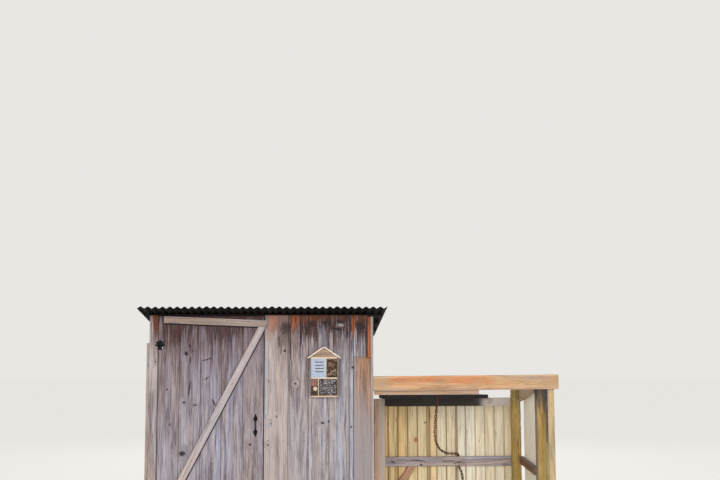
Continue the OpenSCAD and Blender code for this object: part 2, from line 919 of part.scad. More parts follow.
module bay_back_boards() {
    n = floor((side_x - left_post_x0) / (bay_board_w + seam));
    color("#c6b79d")
        for (i = [0:n - 1])
            board(left_post_x0 + i * (bay_board_w + seam), bay_face, bay_board_w, bay_board_t, skirt_z,
                left_post_top - 4 - (i % 3) * 4);
}

// Underside of the side's top rail and top of its middle rail, at a depth
function side_rail_low(y) = side_rail_z - side_rail_fall / 1000 * (y - front_post_back);
function side_mid_top(y) = side_mid_z + side_mid_rise * (y - front_post_back);

module side_rail_blocks() {
    y0 = front_post_back;
    y1 = side_rail_back;
    side_piece([
        [y0, side_rail_low(y0)], [y1, side_rail_low(y1)],
        [y1, side_rail_low(y1) + side_rail_h], [y0, side_rail_low(y0) + side_rail_h]
    ], side_x - stud_t, stud_t);
    side_piece([
        [y0, side_mid_top(y0) - side_mid_h], [y1, side_mid_top(y1) - side_mid_h],
        [y1, side_mid_top(y1)], [y0, side_mid_top(y0)]
    ], side_x - stud_t, stud_t);
}

module bay_side_rails() {
    color("#84684c")
        side_rail_blocks();
}

module bay_side_boards() {
    n = round((side_boards_back - front_post_back) / (bay_board_w + seam));
    step = (side_boards_back - front_post_back) / n;
    color("#c6b9a4")
        for (i = [0:n - 1]) {
            y0 = front_post_back + i * step;
            y1 = y0 + step - seam;
            side_piece([
                [y0, skirt_z], [y1, skirt_z],
                [y1, side_rail_low(y1) + side_rail_h], [y0, side_rail_low(y0) + side_rail_h]
            ], side_x, bay_board_t);
        }
}

module bay_knee_brace() {
    x0 = left_post_x1;
    slope = knee_rise / knee_run;
    half_w = knee_w / 2 * sqrt(1 + 1 / (slope * slope));
    foot = mid_rail_z - knee_rise;
    color("#8d7361")
        face_piece([
            [x0, foot - half_w * slope], [x0 + knee_run + half_w, mid_rail_z],
            [x0 + knee_run - half_w, mid_rail_z], [x0, foot + half_w * slope]
        ], bay_face, stud_t);
}

module bay_roof_planks() {
    left_n = 3;
    right_n = 3;
    last_w = plank_w * 0.75;
    left_x = [for (i = [0:left_n - 1]) nail_x - chain_gap / 2 - plank_w - i * (plank_w + plank_gap)];
    right_x = [for (i = [0:right_n - 1]) nail_x + chain_gap / 2 + i * (plank_w + plank_gap)];
    low = [
        [header_back, ledger_z - stud_t], [header_back + stud_t, ledger_z - stud_t],
        [rail_face, top_rail_z], [bay_face, top_rail_z]
    ];
    high = [for (i = [3:-1:0]) low[i] + [0, stud_t]];
    color("#3d332c")
        for (x = concat(left_x, right_x))
            side_piece(concat(low, high), x, x == right_x[right_n - 1] ? last_w : plank_w);
}

// Oval link, lying along X with its opening facing Z
module link() {
    for (s = [-1, 1]) {
        translate([-link_half, s * link_r, 0])
            rotate([0, 90, 0])
                cylinder(d = wire_d, h = 2 * link_half);
        translate([s * link_half, 0, 0])
            rotate([0, 0, s * 90 - 180])
                rotate_extrude(angle = 180)
                    translate([link_r, 0])
                        circle(d = wire_d);
    }
}

// Lays its children along a direction, turned about it from a fixed level line
module along(place, dir, turn) {
    t = dir / norm(dir);
    side = cross(t, [0.8, -0.6, 0]);
    b0 = side / norm(side);
    b = b0 * cos(turn) + cross(t, b0) * sin(turn);
    n = cross(b, t);
    multmatrix([
        [t[0], n[0], b[0], place[0]],
        [t[1], n[1], b[1], place[1]],
        [t[2], n[2], b[2], place[2]],
        [0, 0, 0, 1]
    ])
        children();
}

module bay_chain() {
    total = run(chain_route, len(chain_route) - 1);
    n = floor(total / link_step);
    color("#4a2f26")
        for (i = [0:n - 1]) {
            a = at(chain_route, i * link_step);
            b = at(chain_route, (i + 1) * link_step);
            twist = 45 * min(1, i / (0.6 * n));
            along((a + b) / 2, b - a, (i % 2 == 0 ? -45 : 45) + twist)
                link();
        }
}

module chain_nail() {
    color("#3a332f")
        translate([nail_x, header_back + stud_t, nail_z])
            rotate([-90, 0, 0])
                cylinder(r = nail_r, h = 42);
}

skids();
floor_boards();
corner_posts();
door_post();
top_plates();
wall_girts();
front_wall_right();
front_corner_board();
corner_patch_board();
left_wall();
right_wall();
back_wall();
jamb_lath();
rafters();
purlins();
roof_sheets();
door_leaf();
door_ledges();
door_brace();
hinge_door_plates();
hinge_frame_plates();
latch_handle();
latch_keeper();
insect_house_box();
insect_house_roof();
insect_house_panel();
insect_house_canes();
insect_house_block();
insect_house_twigs();
bay_header();
bay_ledger();
bay_front_post();
bay_left_post();
bay_round_post();
bay_back_boards();
bay_back_rails();
bay_side_boards();
bay_side_rails();
bay_corner_trim();
bay_knee_brace();
bay_roof_planks();
bay_chain();
chain_nail();
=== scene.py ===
import math

import bmesh
import bpy
import numpy as np
from bpy.props import FloatProperty, FloatVectorProperty, IntProperty, PointerProperty
from bpy.types import Operator, Panel, PropertyGroup
from mathutils import Matrix, Vector


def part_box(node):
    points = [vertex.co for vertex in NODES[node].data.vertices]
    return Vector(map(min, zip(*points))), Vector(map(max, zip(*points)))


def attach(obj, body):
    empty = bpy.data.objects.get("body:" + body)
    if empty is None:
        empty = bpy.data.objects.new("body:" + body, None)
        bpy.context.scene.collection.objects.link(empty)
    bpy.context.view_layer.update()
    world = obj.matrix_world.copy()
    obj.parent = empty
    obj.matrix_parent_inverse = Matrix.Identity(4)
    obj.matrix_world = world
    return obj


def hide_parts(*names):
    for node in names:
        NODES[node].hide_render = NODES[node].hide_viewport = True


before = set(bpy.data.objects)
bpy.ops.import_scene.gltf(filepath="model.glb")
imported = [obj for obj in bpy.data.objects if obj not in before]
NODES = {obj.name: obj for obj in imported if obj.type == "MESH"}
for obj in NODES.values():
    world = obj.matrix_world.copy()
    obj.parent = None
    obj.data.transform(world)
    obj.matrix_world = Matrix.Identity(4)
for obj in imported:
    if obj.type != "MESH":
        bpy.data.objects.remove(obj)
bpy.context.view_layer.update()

bl_info = {
    "name": "Board Outhouse",
    "version": (1, 0, 0),
    "blender": (4, 5, 0),
    "location": "View3D > Sidebar > Outhouse",
    "description": "Weathered boards, corrugated roof and ironwork round the outhouse's solids",
    "category": "Object",
}


def edges(node):
    """Lowest and highest X, Y and Z of a CAD node."""
    low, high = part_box(node)
    return low.x, high.x, low.y, high.y, low.z, high.z


# Sizes that the solids share, in metres: slopes of the roof and of the lean-to's side, the house's depth, the
# heights of the hinges, the door's boards and the gap between boards, and the ledges' width, the top one's
# fall and its distance from the hinge side
ROOF_FALL = 0.125
SIDE_FALL = 0.190
HOUSE_DEPTH = 1.5
HINGE_HEIGHTS = (1.910, 0.470)
DOOR_BOARDS = 5
SEAM = 0.002
LEDGE = 0.066
DROP = 0.040
LEDGE_IN = 0.037
FRONT_Y = edges("front_wall_right")[2]
BOARD_TOP = edges("front_wall_right")[5]
RAFTER_TOP = edges("rafters")[5] + ROOF_FALL * (edges("rafters")[2] - FRONT_Y)


def roof_z(y):
    """Height of the rafter tops at a depth."""
    return RAFTER_TOP - ROOF_FALL * (y - FRONT_Y)


def linear(code):
    """Colour of a six-digit code, as a shader reads it."""
    parts = [int(code[i : i + 2], 16) / 255 for i in (0, 2, 4)]
    return tuple(c / 12.92 if c <= 0.04045 else ((c + 0.055) / 1.055) ** 2.4 for c in parts)


def shade(tone, red=1.0, green=None, blue=None):
    """Colour of a tone or of a six-digit code with its parts multiplied, and an alpha of 1."""
    parts = linear(tone) if isinstance(tone, str) else tone
    times = (red, red if green is None else green, red if blue is None else blue)
    return (*[min(1.0, c * t) for c, t in zip(parts, times)], 1.0)


# ---- Settings


def size(name, text, default, **more):
    return FloatProperty(name=name, description=text, default=default, unit="LENGTH", precision=4, **more)


def colour(name, text, code):
    return FloatVectorProperty(name=name, description=text, default=linear(code), subtype="COLOR", min=0, max=1)


class OuthouseSizes(PropertyGroup):
    ease: size("Worn edge", "Radius of the boards' worn edges", 0.003)
    relief: size("Relief", "Depth of the uneven faces of the boards", 0.0012)
    nail: size("Nail head", "Radius of a nail head", 0.0045)
    screw: size("Roof screw", "Radius of a roof screw's washer", 0.011)
    pitch: size("Corrugation", "Distance from one corrugation to the next", 0.068)
    wave: size("Wave height", "Height of a corrugation", 0.018)
    sheet: size("Sheet", "Thickness of a roof sheet", 0.002)
    cane: size("Cane", "Radius of a cane in the insect house", 0.008)
    twig: size("Twig", "Radius of a twig in the insect house", 0.010)
    waves: IntProperty(name="Waves", description="Corrugations that one sheet covers", default=9, min=5, max=14)


class OuthouseColours(PropertyGroup):
    front: colour("Front boards", "Middle tone of the front wall", "9E989A")
    door: colour("Door boards", "Middle tone of the door", "948E96")
    batten: colour("Ledges", "Middle tone of the ledges", "9A8E89")
    brace: colour("Brace", "Middle tone of the brace", "AFA4A1")
    side: colour("Side boards", "Middle tone of the side and back walls", "C0B1A2")
    patch: colour("Patch board", "Middle tone of the patch board", "957B6D")
    stain: colour("Water stain", "Dark stain below the roof", "3C2C2E")
    fresh: colour("Unweathered wood", "Orange wood below the roof", "A0603A")
    timber: colour("Frame", "Middle tone of the frame timber", "AE6A45")
    # Near black: painted shade under the eaves
    roof: colour("Roof", "Middle tone of the roof sheets", "080605")
    dust: colour("Dust", "Dust on the roof sheets", "474038")
    iron: colour("Iron", "Black iron", "07080D")
    rust: colour("Rust", "Rust", "5A3526")
    header: colour("Header", "Middle tone of the header", "BC9A77")
    pale: colour("Lean-to boards", "Middle tone of the lean-to boards", "E9DFC4")
    seam: colour("Golden seams", "Tone beside the seams of the lean-to boards", "8C6C34")
    rail: colour("Rails", "Middle tone of the rails", "A29A9C")
    post: colour("Posts", "Middle tone of the round and front posts", "9C844E")
    # Near black: painted shade on the lean-to's roof planks
    planks: colour("Roof planks", "Middle tone of the lean-to's roof planks", "120E0D")
    pine: colour("Pine", "Middle tone of the insect house", "EAD8BC")
    white: colour("White panel", "White panel of the insect house", "A6B0C2")


class OuthouseStage(PropertyGroup):
    floor: colour("Floor", "Colour of the floor", "E9E7E3")
    sky: FloatProperty(name="World", description="Strength of the world's light", default=0.62, min=0)
    glow: FloatProperty(name="Floor's glow", description="Tone of the floor far from the lamps", default=1.18, min=0)
    key: FloatProperty(name="Lamps", description="Strength of the soft lamps", default=0.54, min=0)


# ---- Nodes


class Value:
    """Output socket of a node; arithmetic on it adds Math nodes."""

    def __init__(self, tree, socket):
        self.tree = tree
        self.socket = socket

    def math(self, operation, *others):
        return self.tree.add("ShaderNodeMath", [self, *others], operation=operation)

    def __add__(self, other):
        return self.math("ADD", other)

    def __sub__(self, other):
        return self.math("SUBTRACT", other)

    def __mul__(self, other):
        return self.math("MULTIPLY", other)

    def __rsub__(self, other):
        return self.tree.add("ShaderNodeMath", [other, self], operation="SUBTRACT")

    __radd__ = __add__
    __rmul__ = __mul__

    def ramp(self, low, high, start=0.0, end=1.0):
        """Smooth step from start at low to end at high."""
        return self.tree.add("ShaderNodeMapRange", [self, low, high, start, end], interpolation_type="SMOOTHSTEP")

    def band(self, low, high, soft):
        """1 between low and high, with soft sides."""
        return self.ramp(low - soft, low) * self.ramp(high, high + soft, 1.0, 0.0)


class Tree:
    """Node tree that is being filled."""

    def __init__(self, tree):
        self.tree = tree

    def add(self, kind, inputs=(), out=0, stops=None, **settings):
        node = self.tree.nodes.new(kind)
        for name, value in settings.items():
            setattr(node, name, value)
        if stops:
            points = node.color_ramp.elements
            while len(points) < len(stops):
                points.new(0.5)
            for point, (place, tone) in zip(points, stops):
                point.position = place
                point.color = tone
        for key, value in inputs.items() if isinstance(inputs, dict) else enumerate(inputs):
            if isinstance(value, Value):
                self.tree.links.new(value.socket, node.inputs[key])
            elif value is not None:
                node.inputs[key].default_value = value
        return Value(self, node.outputs[out]) if node.outputs else None

    def vector(self, operation, *inputs, out=0):
        return self.add("ShaderNodeVectorMath", inputs, out, operation=operation)

    def mix(self, factor, a, b, blend="MIX"):
        """Mix of two colours; a six-digit code stands for its colour."""
        a, b = (shade(c) if isinstance(c, str) else c for c in (a, b))
        return self.add("ShaderNodeMix", {0: factor, 6: a, 7: b}, 2, data_type="RGBA", blend_type=blend)

    def noise(self, where, stretch, detail=3.0, roughness=0.55):
        """Noise whose lumps measure 1 / stretch metres."""
        scaled = self.vector("MULTIPLY", where, stretch)
        settings = {"Vector": scaled, "Scale": 1.0, "Detail": detail, "Roughness": roughness}
        return self.add("ShaderNodeTexNoise", settings)

    def attribute(self, name, out):
        return self.add("ShaderNodeAttribute", (), out, attribute_name=name)

    def object_place(self):
        return self.add("ShaderNodeTexCoord", (), 3)

    def parts(self, vector):
        node = self.add("ShaderNodeSeparateXYZ", [vector]).socket.node
        return [Value(self, socket) for socket in node.outputs]

    def surface(self, colour, roughness, height=None, depth=0.001, metallic=0.0, shine=0.5):
        inputs = {"Base Color": colour, "Roughness": roughness, "Metallic": metallic, "Specular IOR Level": shine}
        if height is not None:
            inputs["Normal"] = self.add("ShaderNodeBump", {"Strength": 1.0, "Distance": depth, "Height": height})
        shader = self.add("ShaderNodeBsdfPrincipled", inputs)
        self.add("ShaderNodeOutputMaterial", [shader])

    def add_output(self, geometry):
        self.add("NodeGroupOutput", {"Geometry": geometry})


def new_material(name):
    material = bpy.data.materials.new(name)
    material.use_nodes = True
    material.node_tree.nodes.clear()
    return material, Tree(material.node_tree)


def spots(tree, place, marks, ragged=0.0):
    """Distance to the nearest mark, 1 at its rim. A mark is X, Z, half width, half height and perhaps a slant."""
    nearest = None
    for x, z, wide, high, *slant in marks:
        if slant:
            c, s = math.cos(math.radians(slant[0])), math.sin(math.radians(slant[0]))
            along = tree.vector("DOT_PRODUCT", place, (c / wide, 0, s / wide), out=1) - (c * x + s * z) / wide
            across = tree.vector("DOT_PRODUCT", place, (-s / high, 0, c / high), out=1) - (c * z - s * x) / high
            distance = (along * along + across * across).math("SQRT")
        else:
            scaled = tree.vector("MULTIPLY_ADD", place, (1 / wide, 0, 1 / high), (-x / wide, 0, -z / high))
            distance = tree.vector("LENGTH", scaled, out=1)
        nearest = distance if nearest is None else nearest.math("MINIMUM", distance)
    if ragged:
        nearest = nearest + (tree.noise(place, (55, 55, 30), 3.0, 0.6) - 0.5) * ragged
    return nearest


def wood(name, tone, contrast=1.0, grain=None, knots=None, seam=(0.25, 0.2, 0.2), seam_reach=0.006,
         seam_share=0.6, hue=1.0, finish=None):
    """Weathered wood. The grain runs with the boards' own attribute, or with one axis of a plain solid.

    Knots lie by chance where none are given, and an empty set leaves them out.
    """
    material, tree = new_material(name)
    place = tree.object_place()
    if grain is None:
        where = tree.attribute("grain", 1)
        board_tone = tree.attribute("tone", 2)
        edge = tree.attribute("edge", 2)
    else:
        x, y, z = tree.parts(place)
        across = {"x": [y, x, z], "y": [x, y, z], "z": [x, z, y]}[grain]
        where = tree.add("ShaderNodeCombineXYZ", across)
    if knots:
        near = spots(tree, place, knots, 0.9)
    else:
        cells = {"Vector": tree.vector("MULTIPLY", where, (7, 3.2, 7)), "Scale": 1.0, "Randomness": 1.0}
        cell = tree.add("ShaderNodeTexVoronoi", cells, 0, voronoi_dimensions="3D").socket.node
        pick = tree.parts(Value(tree, cell.outputs["Color"]))[0]
        near = Value(tree, cell.outputs["Distance"]) * 9.0 + (9.0 if knots == () else pick.ramp(0.2, 0.28, 0.0, 5.0))
    pull = near.ramp(0.6, 4.5, 1.0, 0.0)
    bend = tree.noise(where, (5, 1.3, 5), 2.0)
    u, v, w = tree.parts(where)
    round_knot = (u + (bend - 0.5) * 0.05) * (1 - pull) + near * 0.011 * pull
    flow = tree.add("ShaderNodeCombineXYZ", [round_knot, v, w])
    clouds = tree.noise(where, (11, 2.2, 11), 4.0, 0.6)
    broad = tree.noise(flow, (38, 1.1, 38), 3.0, 0.6)
    streaks = tree.noise(flow, (105, 3.6, 105), 3.0, 0.65)
    fibres = tree.noise(flow, (520, 11, 520), 3.0, 0.6)
    level = (clouds - 0.5) * 0.6 + (broad - 0.5) * 0.65 + (streaks - 0.5) * 1.15 + (fibres - 0.5) * 0.6
    level = level * contrast + 0.5
    stops = [
        (0.14, shade(tone, 0.40, 0.36, 0.37)),
        (0.34, shade(tone, 0.74, 0.71, 0.71)),
        (0.50, shade(tone, 1.0)),
        (0.72, shade(tone, 1.28, 1.30, 1.32)),
        (0.92, shade(tone, 1.55, 1.62, 1.70)),
    ]
    colour = tree.add("ShaderNodeValToRGB", [level], stops=stops)
    patches = tree.noise(flow, (16, 0.9, 16), 3.0, 0.6)
    yellower, bluer = (1 + 0.13 * hue, 1.0, 1 - 0.17 * hue, 1), (1 - 0.06 * hue, 1.0, 1 + 0.10 * hue, 1)
    colour = tree.mix(1.0, colour, tree.mix(patches.ramp(0.36, 0.64), yellower, bluer), "MULTIPLY")
    if grain is None:
        warm = tree.mix(board_tone.ramp(-1, 1), (1.06, 1.0, 0.94, 1), (0.95, 0.99, 1.06, 1))
        colour = tree.mix(1.0, colour, warm, "MULTIPLY")
        colour = tree.vector("SCALE", colour, None, None, board_tone * 0.09 + 1.0)
        colour = tree.mix(edge.ramp(0.0, seam_reach, seam_share, 0.0), colour, shade(seam))
    check_noise = tree.noise(flow, (24, 0.8, 24), 2.0)
    check = (check_noise - 0.5).math("ABSOLUTE").ramp(0.0, 0.007, 1.0, 0.0) * broad.ramp(0.52, 0.44)
    core = near.ramp(0.8, 1.3, 1.0, 0.0)
    halo = near.ramp(0.9, 2.2, 0.5, 0.0) * streaks.ramp(0.3, 0.7, 1.2, 0.3)
    colour = tree.mix(halo.math("MINIMUM", 1.0), colour, shade(tone, 0.42, 0.35, 0.33))
    colour = tree.mix(core * 0.95, colour, shade(tone, 0.09, 0.08, 0.10))
    colour = tree.mix(check * 0.75, colour, shade(tone, 0.16, 0.13, 0.13))
    height = fibres * 0.4 + streaks * 0.7 + broad * 0.4 - check * 1.0 - core * 0.5
    if finish:
        colour = finish(tree, place, colour, bpy.context.scene.outhouse_colours)
    tree.surface(colour, streaks.ramp(0.3, 0.7, 0.82, 0.96), height, 0.0016)
    return material


def metal(name, base, rust, share, metallic=0.6, rough=0.5, shine=0.5, dust=None):
    """Iron or steel with rust in patches, and perhaps dust on what faces up."""
    material, tree = new_material(name)
    place = tree.object_place()
    patches = tree.noise(place, (14, 14, 14), 5.0, 0.65)
    grit = tree.noise(place, (240, 240, 240), 3.0)
    worn = patches.ramp(0.62 - share * 0.4, 0.74 - share * 0.4)
    plain = tree.mix(grit.ramp(0.3, 0.7), shade(base, 0.8), shade(base, 1.25))
    rusty = tree.mix(grit.ramp(0.35, 0.65), shade(rust, 0.6), shade(rust, 1.4))
    if dust:
        up = tree.parts(tree.add("ShaderNodeNewGeometry", (), "Normal"))[2]
        runs = tree.noise(place, (16, 1.6, 16), 4.0, 0.65)
        plain = tree.mix(up.ramp(0.3, 0.8) * runs.ramp(0.34, 0.66, 0.2, 1.0), plain, shade(dust))
    tree.surface(
        tree.mix(worn, plain, rusty), worn.ramp(0, 1, rough, 0.92), grit * 0.5 + patches * 0.8, 0.0008,
        worn.ramp(0, 1, metallic, 0.1), shine,
    )
    return material


# ---- Meshes


def finished(name, mesh, material, body, nodes=(), angle=35.0):
    """Object of a finished mesh, riding on a body and standing for its CAD nodes."""
    mesh.name = name
    mesh.materials.clear()
    mesh.materials.append(material)
    mesh.shade_smooth()
    mesh.set_sharp_from_angle(angle=math.radians(angle))
    made = bpy.data.objects.new(name, mesh)
    bpy.context.scene.collection.objects.link(made)
    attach(made, body)
    if nodes:
        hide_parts(*nodes)


def dress(material, *nodes):
    """Gives carried-over CAD nodes a material."""
    for node in nodes:
        NODES[node].data.materials.clear()
        NODES[node].data.materials.append(material)


class Boards:
    """Boards of one mesh. Each has worn edges, an uneven face and a grain of its own."""

    def __init__(self, seed, ease=None, relief=None):
        sizes = bpy.context.scene.outhouse_sizes
        self.random = np.random.default_rng(seed)
        self.ease = ease or sizes.ease
        self.relief = relief or sizes.relief
        self.points = []
        self.faces = []
        self.grain = []
        self.tone = []
        self.edge = []

    def add(self, a, b, c, d, thick, step=0.07, tone=None):
        """Board from its low left, low right, high right and high left corners, seen from its face."""
        a, b, c, d = (np.array(p, float) for p in (a, b, c, d))
        width = np.linalg.norm(b - a)
        length = np.linalg.norm(d - a)
        out = np.cross(b - a, d - a)
        out /= np.linalg.norm(out)
        e = min(self.ease, width / 4, thick / 4)
        inner = max(2, round(width / 0.035))
        face = [(e + (width - 2 * e) * i / inner, 0.0) for i in range(inner + 1)]
        loop = [(0, thick - e), (0, e), (0.3 * e, 0.3 * e), *face, (width - 0.3 * e, 0.3 * e), (width, e),
                (width, thick - e), (width - 0.3 * e, thick - 0.3 * e), (width - e, thick), (width / 2, thick),
                (e, thick), (0.3 * e, thick - 0.3 * e)]
        loop = np.array(loop)
        count = len(loop)
        rows = max(3, round(length / step))
        places = [0.0, e / length, *[i / rows for i in range(1, rows)], 1 - e / length, 1.0]
        uneven = self.random.normal(0, 1, (len(places) + 4, count))
        uneven = sum(uneven[i : i + len(places)] for i in range(5)) / 5
        sides = self.random.normal(0, 1, (len(places) + 4, 2))
        sides = np.abs(sum(sides[i : i + len(places)] for i in range(5)) / 5) * self.relief * 0.7
        cup = self.random.uniform(-1, 1) * self.relief
        offset = self.random.uniform(-40, 40, 3)
        own = self.random.uniform(-1, 1) if tone is None else tone
        first = len(self.points)
        for k, s in enumerate(places):
            inset = e if k in (0, len(places) - 1) else 0.0
            for i, (u, depth) in enumerate(loop):
                f = u / width
                dent = 0.0
                if depth == 0.0:
                    bow = (2 * f - 1) ** 2
                    dent = abs(uneven[k, i]) * self.relief + abs(cup) * (1 - bow if cup > 0 else bow)
                reach = u + sides[k, 0] * (1 - f) - sides[k, 1] * f
                reach = inset + reach * (width - 2 * inset) / width
                deep = inset + (depth + dent) * (thick - 2 * inset) / thick
                f2 = reach / width
                low = a + (b - a) * f2
                high = d + (c - d) * f2
                self.points.append(low + (high - low) * s - out * deep)
                self.grain.append((u - width / 2 + offset[0], s * length + offset[1], depth + offset[2]))
                self.tone.append(own)
                self.edge.append(min(u, width - u) if depth in (0.0, thick) else 0.0)
        for k in range(len(places) - 1):
            for i in range(count):
                p = first + k * count
                j = (i + 1) % count
                self.faces.append((p + i, p + j, p + count + j, p + count + i))
        last = first + (len(places) - 1) * count
        self.faces.append(tuple(first + i for i in reversed(range(count))))
        self.faces.append(tuple(last + i for i in range(count)))

    def front(self, x0, x1, z0, z1, y, thick, **more):
        self.add((x0, y, z0), (x1, y, z0), (x1, y, z1), (x0, y, z1), thick, **more)

    def level(self, x0, x1, z0, z1, y, thick, **more):
        """Board that lies along X, seen from the front."""
        self.add((x0, y, z1), (x0, y, z0), (x1, y, z0), (x1, y, z1), thick, **more)

    def mesh(self):
        mesh = bpy.data.meshes.new("boards")
        mesh.from_pydata([tuple(p) for p in self.points], [], self.faces)
        mesh.attributes.new("grain", "FLOAT_VECTOR", "POINT").data.foreach_set("vector", np.ravel(self.grain))
        mesh.attributes.new("tone", "FLOAT", "POINT").data.foreach_set("value", self.tone)
        mesh.attributes.new("edge", "FLOAT", "POINT").data.foreach_set("value", self.edge)
        mesh.update()
        return mesh

    def finish(self, name, material, body, slot, *nodes):
        finished(name, self.mesh(), material, body, nodes)


def shares(low, high, count, rim=0.0):
    """Low and high edges of equal boards with seams between them, and perhaps a rim at both ends."""
    step = (high - low - 2 * rim + SEAM) / count
    return [(low + rim + i * step, low + rim + (i + 1) * step - SEAM) for i in range(count)]


def upright(name, node, seed, tone, material, slot):
    """One upright board or post that fills the box of its CAD node."""
    x0, x1, y0, y1, z0, z1 = edges(node)
    post = Boards(seed)
    post.front(x0, x1, z0, z1, y0, y1 - y0, tone=tone)
    post.finish(name, material, "house", slot, node)


def turned(profile, sides=24, axis_place=(0, 0), seed=0, wobble=0.0):
    """Closed round mesh from (radius, height) pairs, about an upright line at an X and Y."""
    random = np.random.default_rng(seed)
    lean = random.normal(0, 1, (len(profile), sides))
    for _ in range(3):
        lean = (lean + np.roll(lean, 1, 1) + np.roll(lean, -1, 1) + np.roll(lean, 1, 0)) / 4
    points = []
    faces = []
    for k, (radius, height) in enumerate(profile):
        for i in range(sides):
            angle = 2 * math.pi * i / sides
            r = radius - abs(lean[k, i]) * wobble
            points.append((axis_place[0] + r * math.cos(angle), axis_place[1] + r * math.sin(angle), height))
    for k in range(len(profile) - 1):
        for i in range(sides):
            j = (i + 1) % sides
            faces.append((k * sides + i, k * sides + j, (k + 1) * sides + j, (k + 1) * sides + i))
    top = (len(profile) - 1) * sides
    faces.append(tuple(reversed(range(sides))))
    faces.append(tuple(top + i for i in range(sides)))
    mesh = bpy.data.meshes.new("turned")
    mesh.from_pydata(points, [], faces)
    return mesh


# ---- Geometry Nodes


def new_group(name, inputs):
    """Geometry node group with a geometry input, named inputs and a geometry output."""
    group = bpy.data.node_groups.new(name, "GeometryNodeTree")
    group.interface.new_socket("Geometry", in_out="INPUT", socket_type="NodeSocketGeometry")
    for label, kind in inputs:
        group.interface.new_socket(label, in_out="INPUT", socket_type="NodeSocket" + kind)
    group.interface.new_socket("Geometry", in_out="OUTPUT", socket_type="NodeSocketGeometry")
    tree = Tree(group)
    source = tree.add("NodeGroupInput").socket.node
    return group, tree, {socket.name: Value(tree, socket) for socket in source.outputs if socket.name}


def run_group(group, start, values, more=None):
    """Plain mesh that a group makes of a start mesh."""
    holder = bpy.data.objects.new("holder", start)
    bpy.context.scene.collection.objects.link(holder)
    modifier = holder.modifiers.new("nodes", "NODES")
    modifier.node_group = group
    for item in group.interface.items_tree:
        if item.in_out == "INPUT" and item.name in values:
            modifier[item.identifier] = values[item.name]
    if more:
        more(holder)
    bpy.context.view_layer.update()
    evaluated = holder.evaluated_get(bpy.context.evaluated_depsgraph_get())
    mesh = bpy.data.meshes.new_from_object(evaluated)
    bpy.data.objects.remove(holder)
    bpy.data.meshes.remove(start)
    return mesh


def setting_out():
    """Group that sets a shape out on points, each turned the way that its point says."""
    inputs = [("Shape", "Object"), ("Smallest", "Float"), ("Largest", "Float"), ("Seed", "Int"),
              ("Material", "Material")]
    group, tree, value = new_group("Set out on points", inputs)
    shape = tree.add("GeometryNodeObjectInfo", {"Object": value["Shape"]}).socket.node.outputs["Geometry"]
    way = tree.add("GeometryNodeInputNamedAttribute", {"Name": "way"}, data_type="FLOAT_VECTOR")
    turn = tree.add("FunctionNodeAlignRotationToVector", {"Vector": way}, axis="Z")
    spin_amount = tree.add(
        "FunctionNodeRandomValue", {2: 0.0, 3: 6.28, "Seed": value["Seed"]}, 1, data_type="FLOAT")
    spin_vector = tree.add("ShaderNodeCombineXYZ", {2: spin_amount})
    spin = tree.add("FunctionNodeRotateRotation", [turn, tree.add("FunctionNodeEulerToRotation", [spin_vector])],
                    rotation_space="LOCAL")
    scale = tree.add(
        "FunctionNodeRandomValue", {2: value["Smallest"], 3: value["Largest"], "Seed": value["Seed"]}, 1,
        data_type="FLOAT")
    placed = tree.add("GeometryNodeInstanceOnPoints", {
        "Points": value["Geometry"], "Instance": Value(tree, shape), "Rotation": spin, "Scale": scale})
    real = tree.add("GeometryNodeRealizeInstances", {"Geometry": placed})
    painted = tree.add("GeometryNodeSetMaterial", {"Geometry": real, "Material": value["Material"]})
    tree.add_output(painted)
    return group


def set_out(name, points, ways, shape, material, body, smallest=0.9, largest=1.1, seed=1, nodes=()):
    """Piece of copies of a shape on points, each with its Z along its way."""
    start = bpy.data.meshes.new("points")
    start.from_pydata([tuple(p) for p in points], [], [])
    start.attributes.new("way", "FLOAT_VECTOR", "POINT").data.foreach_set("vector", np.ravel(ways))
    source = bpy.data.objects.new("shape", shape)
    bpy.context.scene.collection.objects.link(source)
    group = bpy.data.node_groups.get("Set out on points") or setting_out()
    values = {"Shape": source, "Smallest": smallest, "Largest": largest, "Seed": seed, "Material": material}
    mesh = run_group(group, start, values)
    bpy.data.objects.remove(source)
    finished(name, mesh, material, body, nodes)


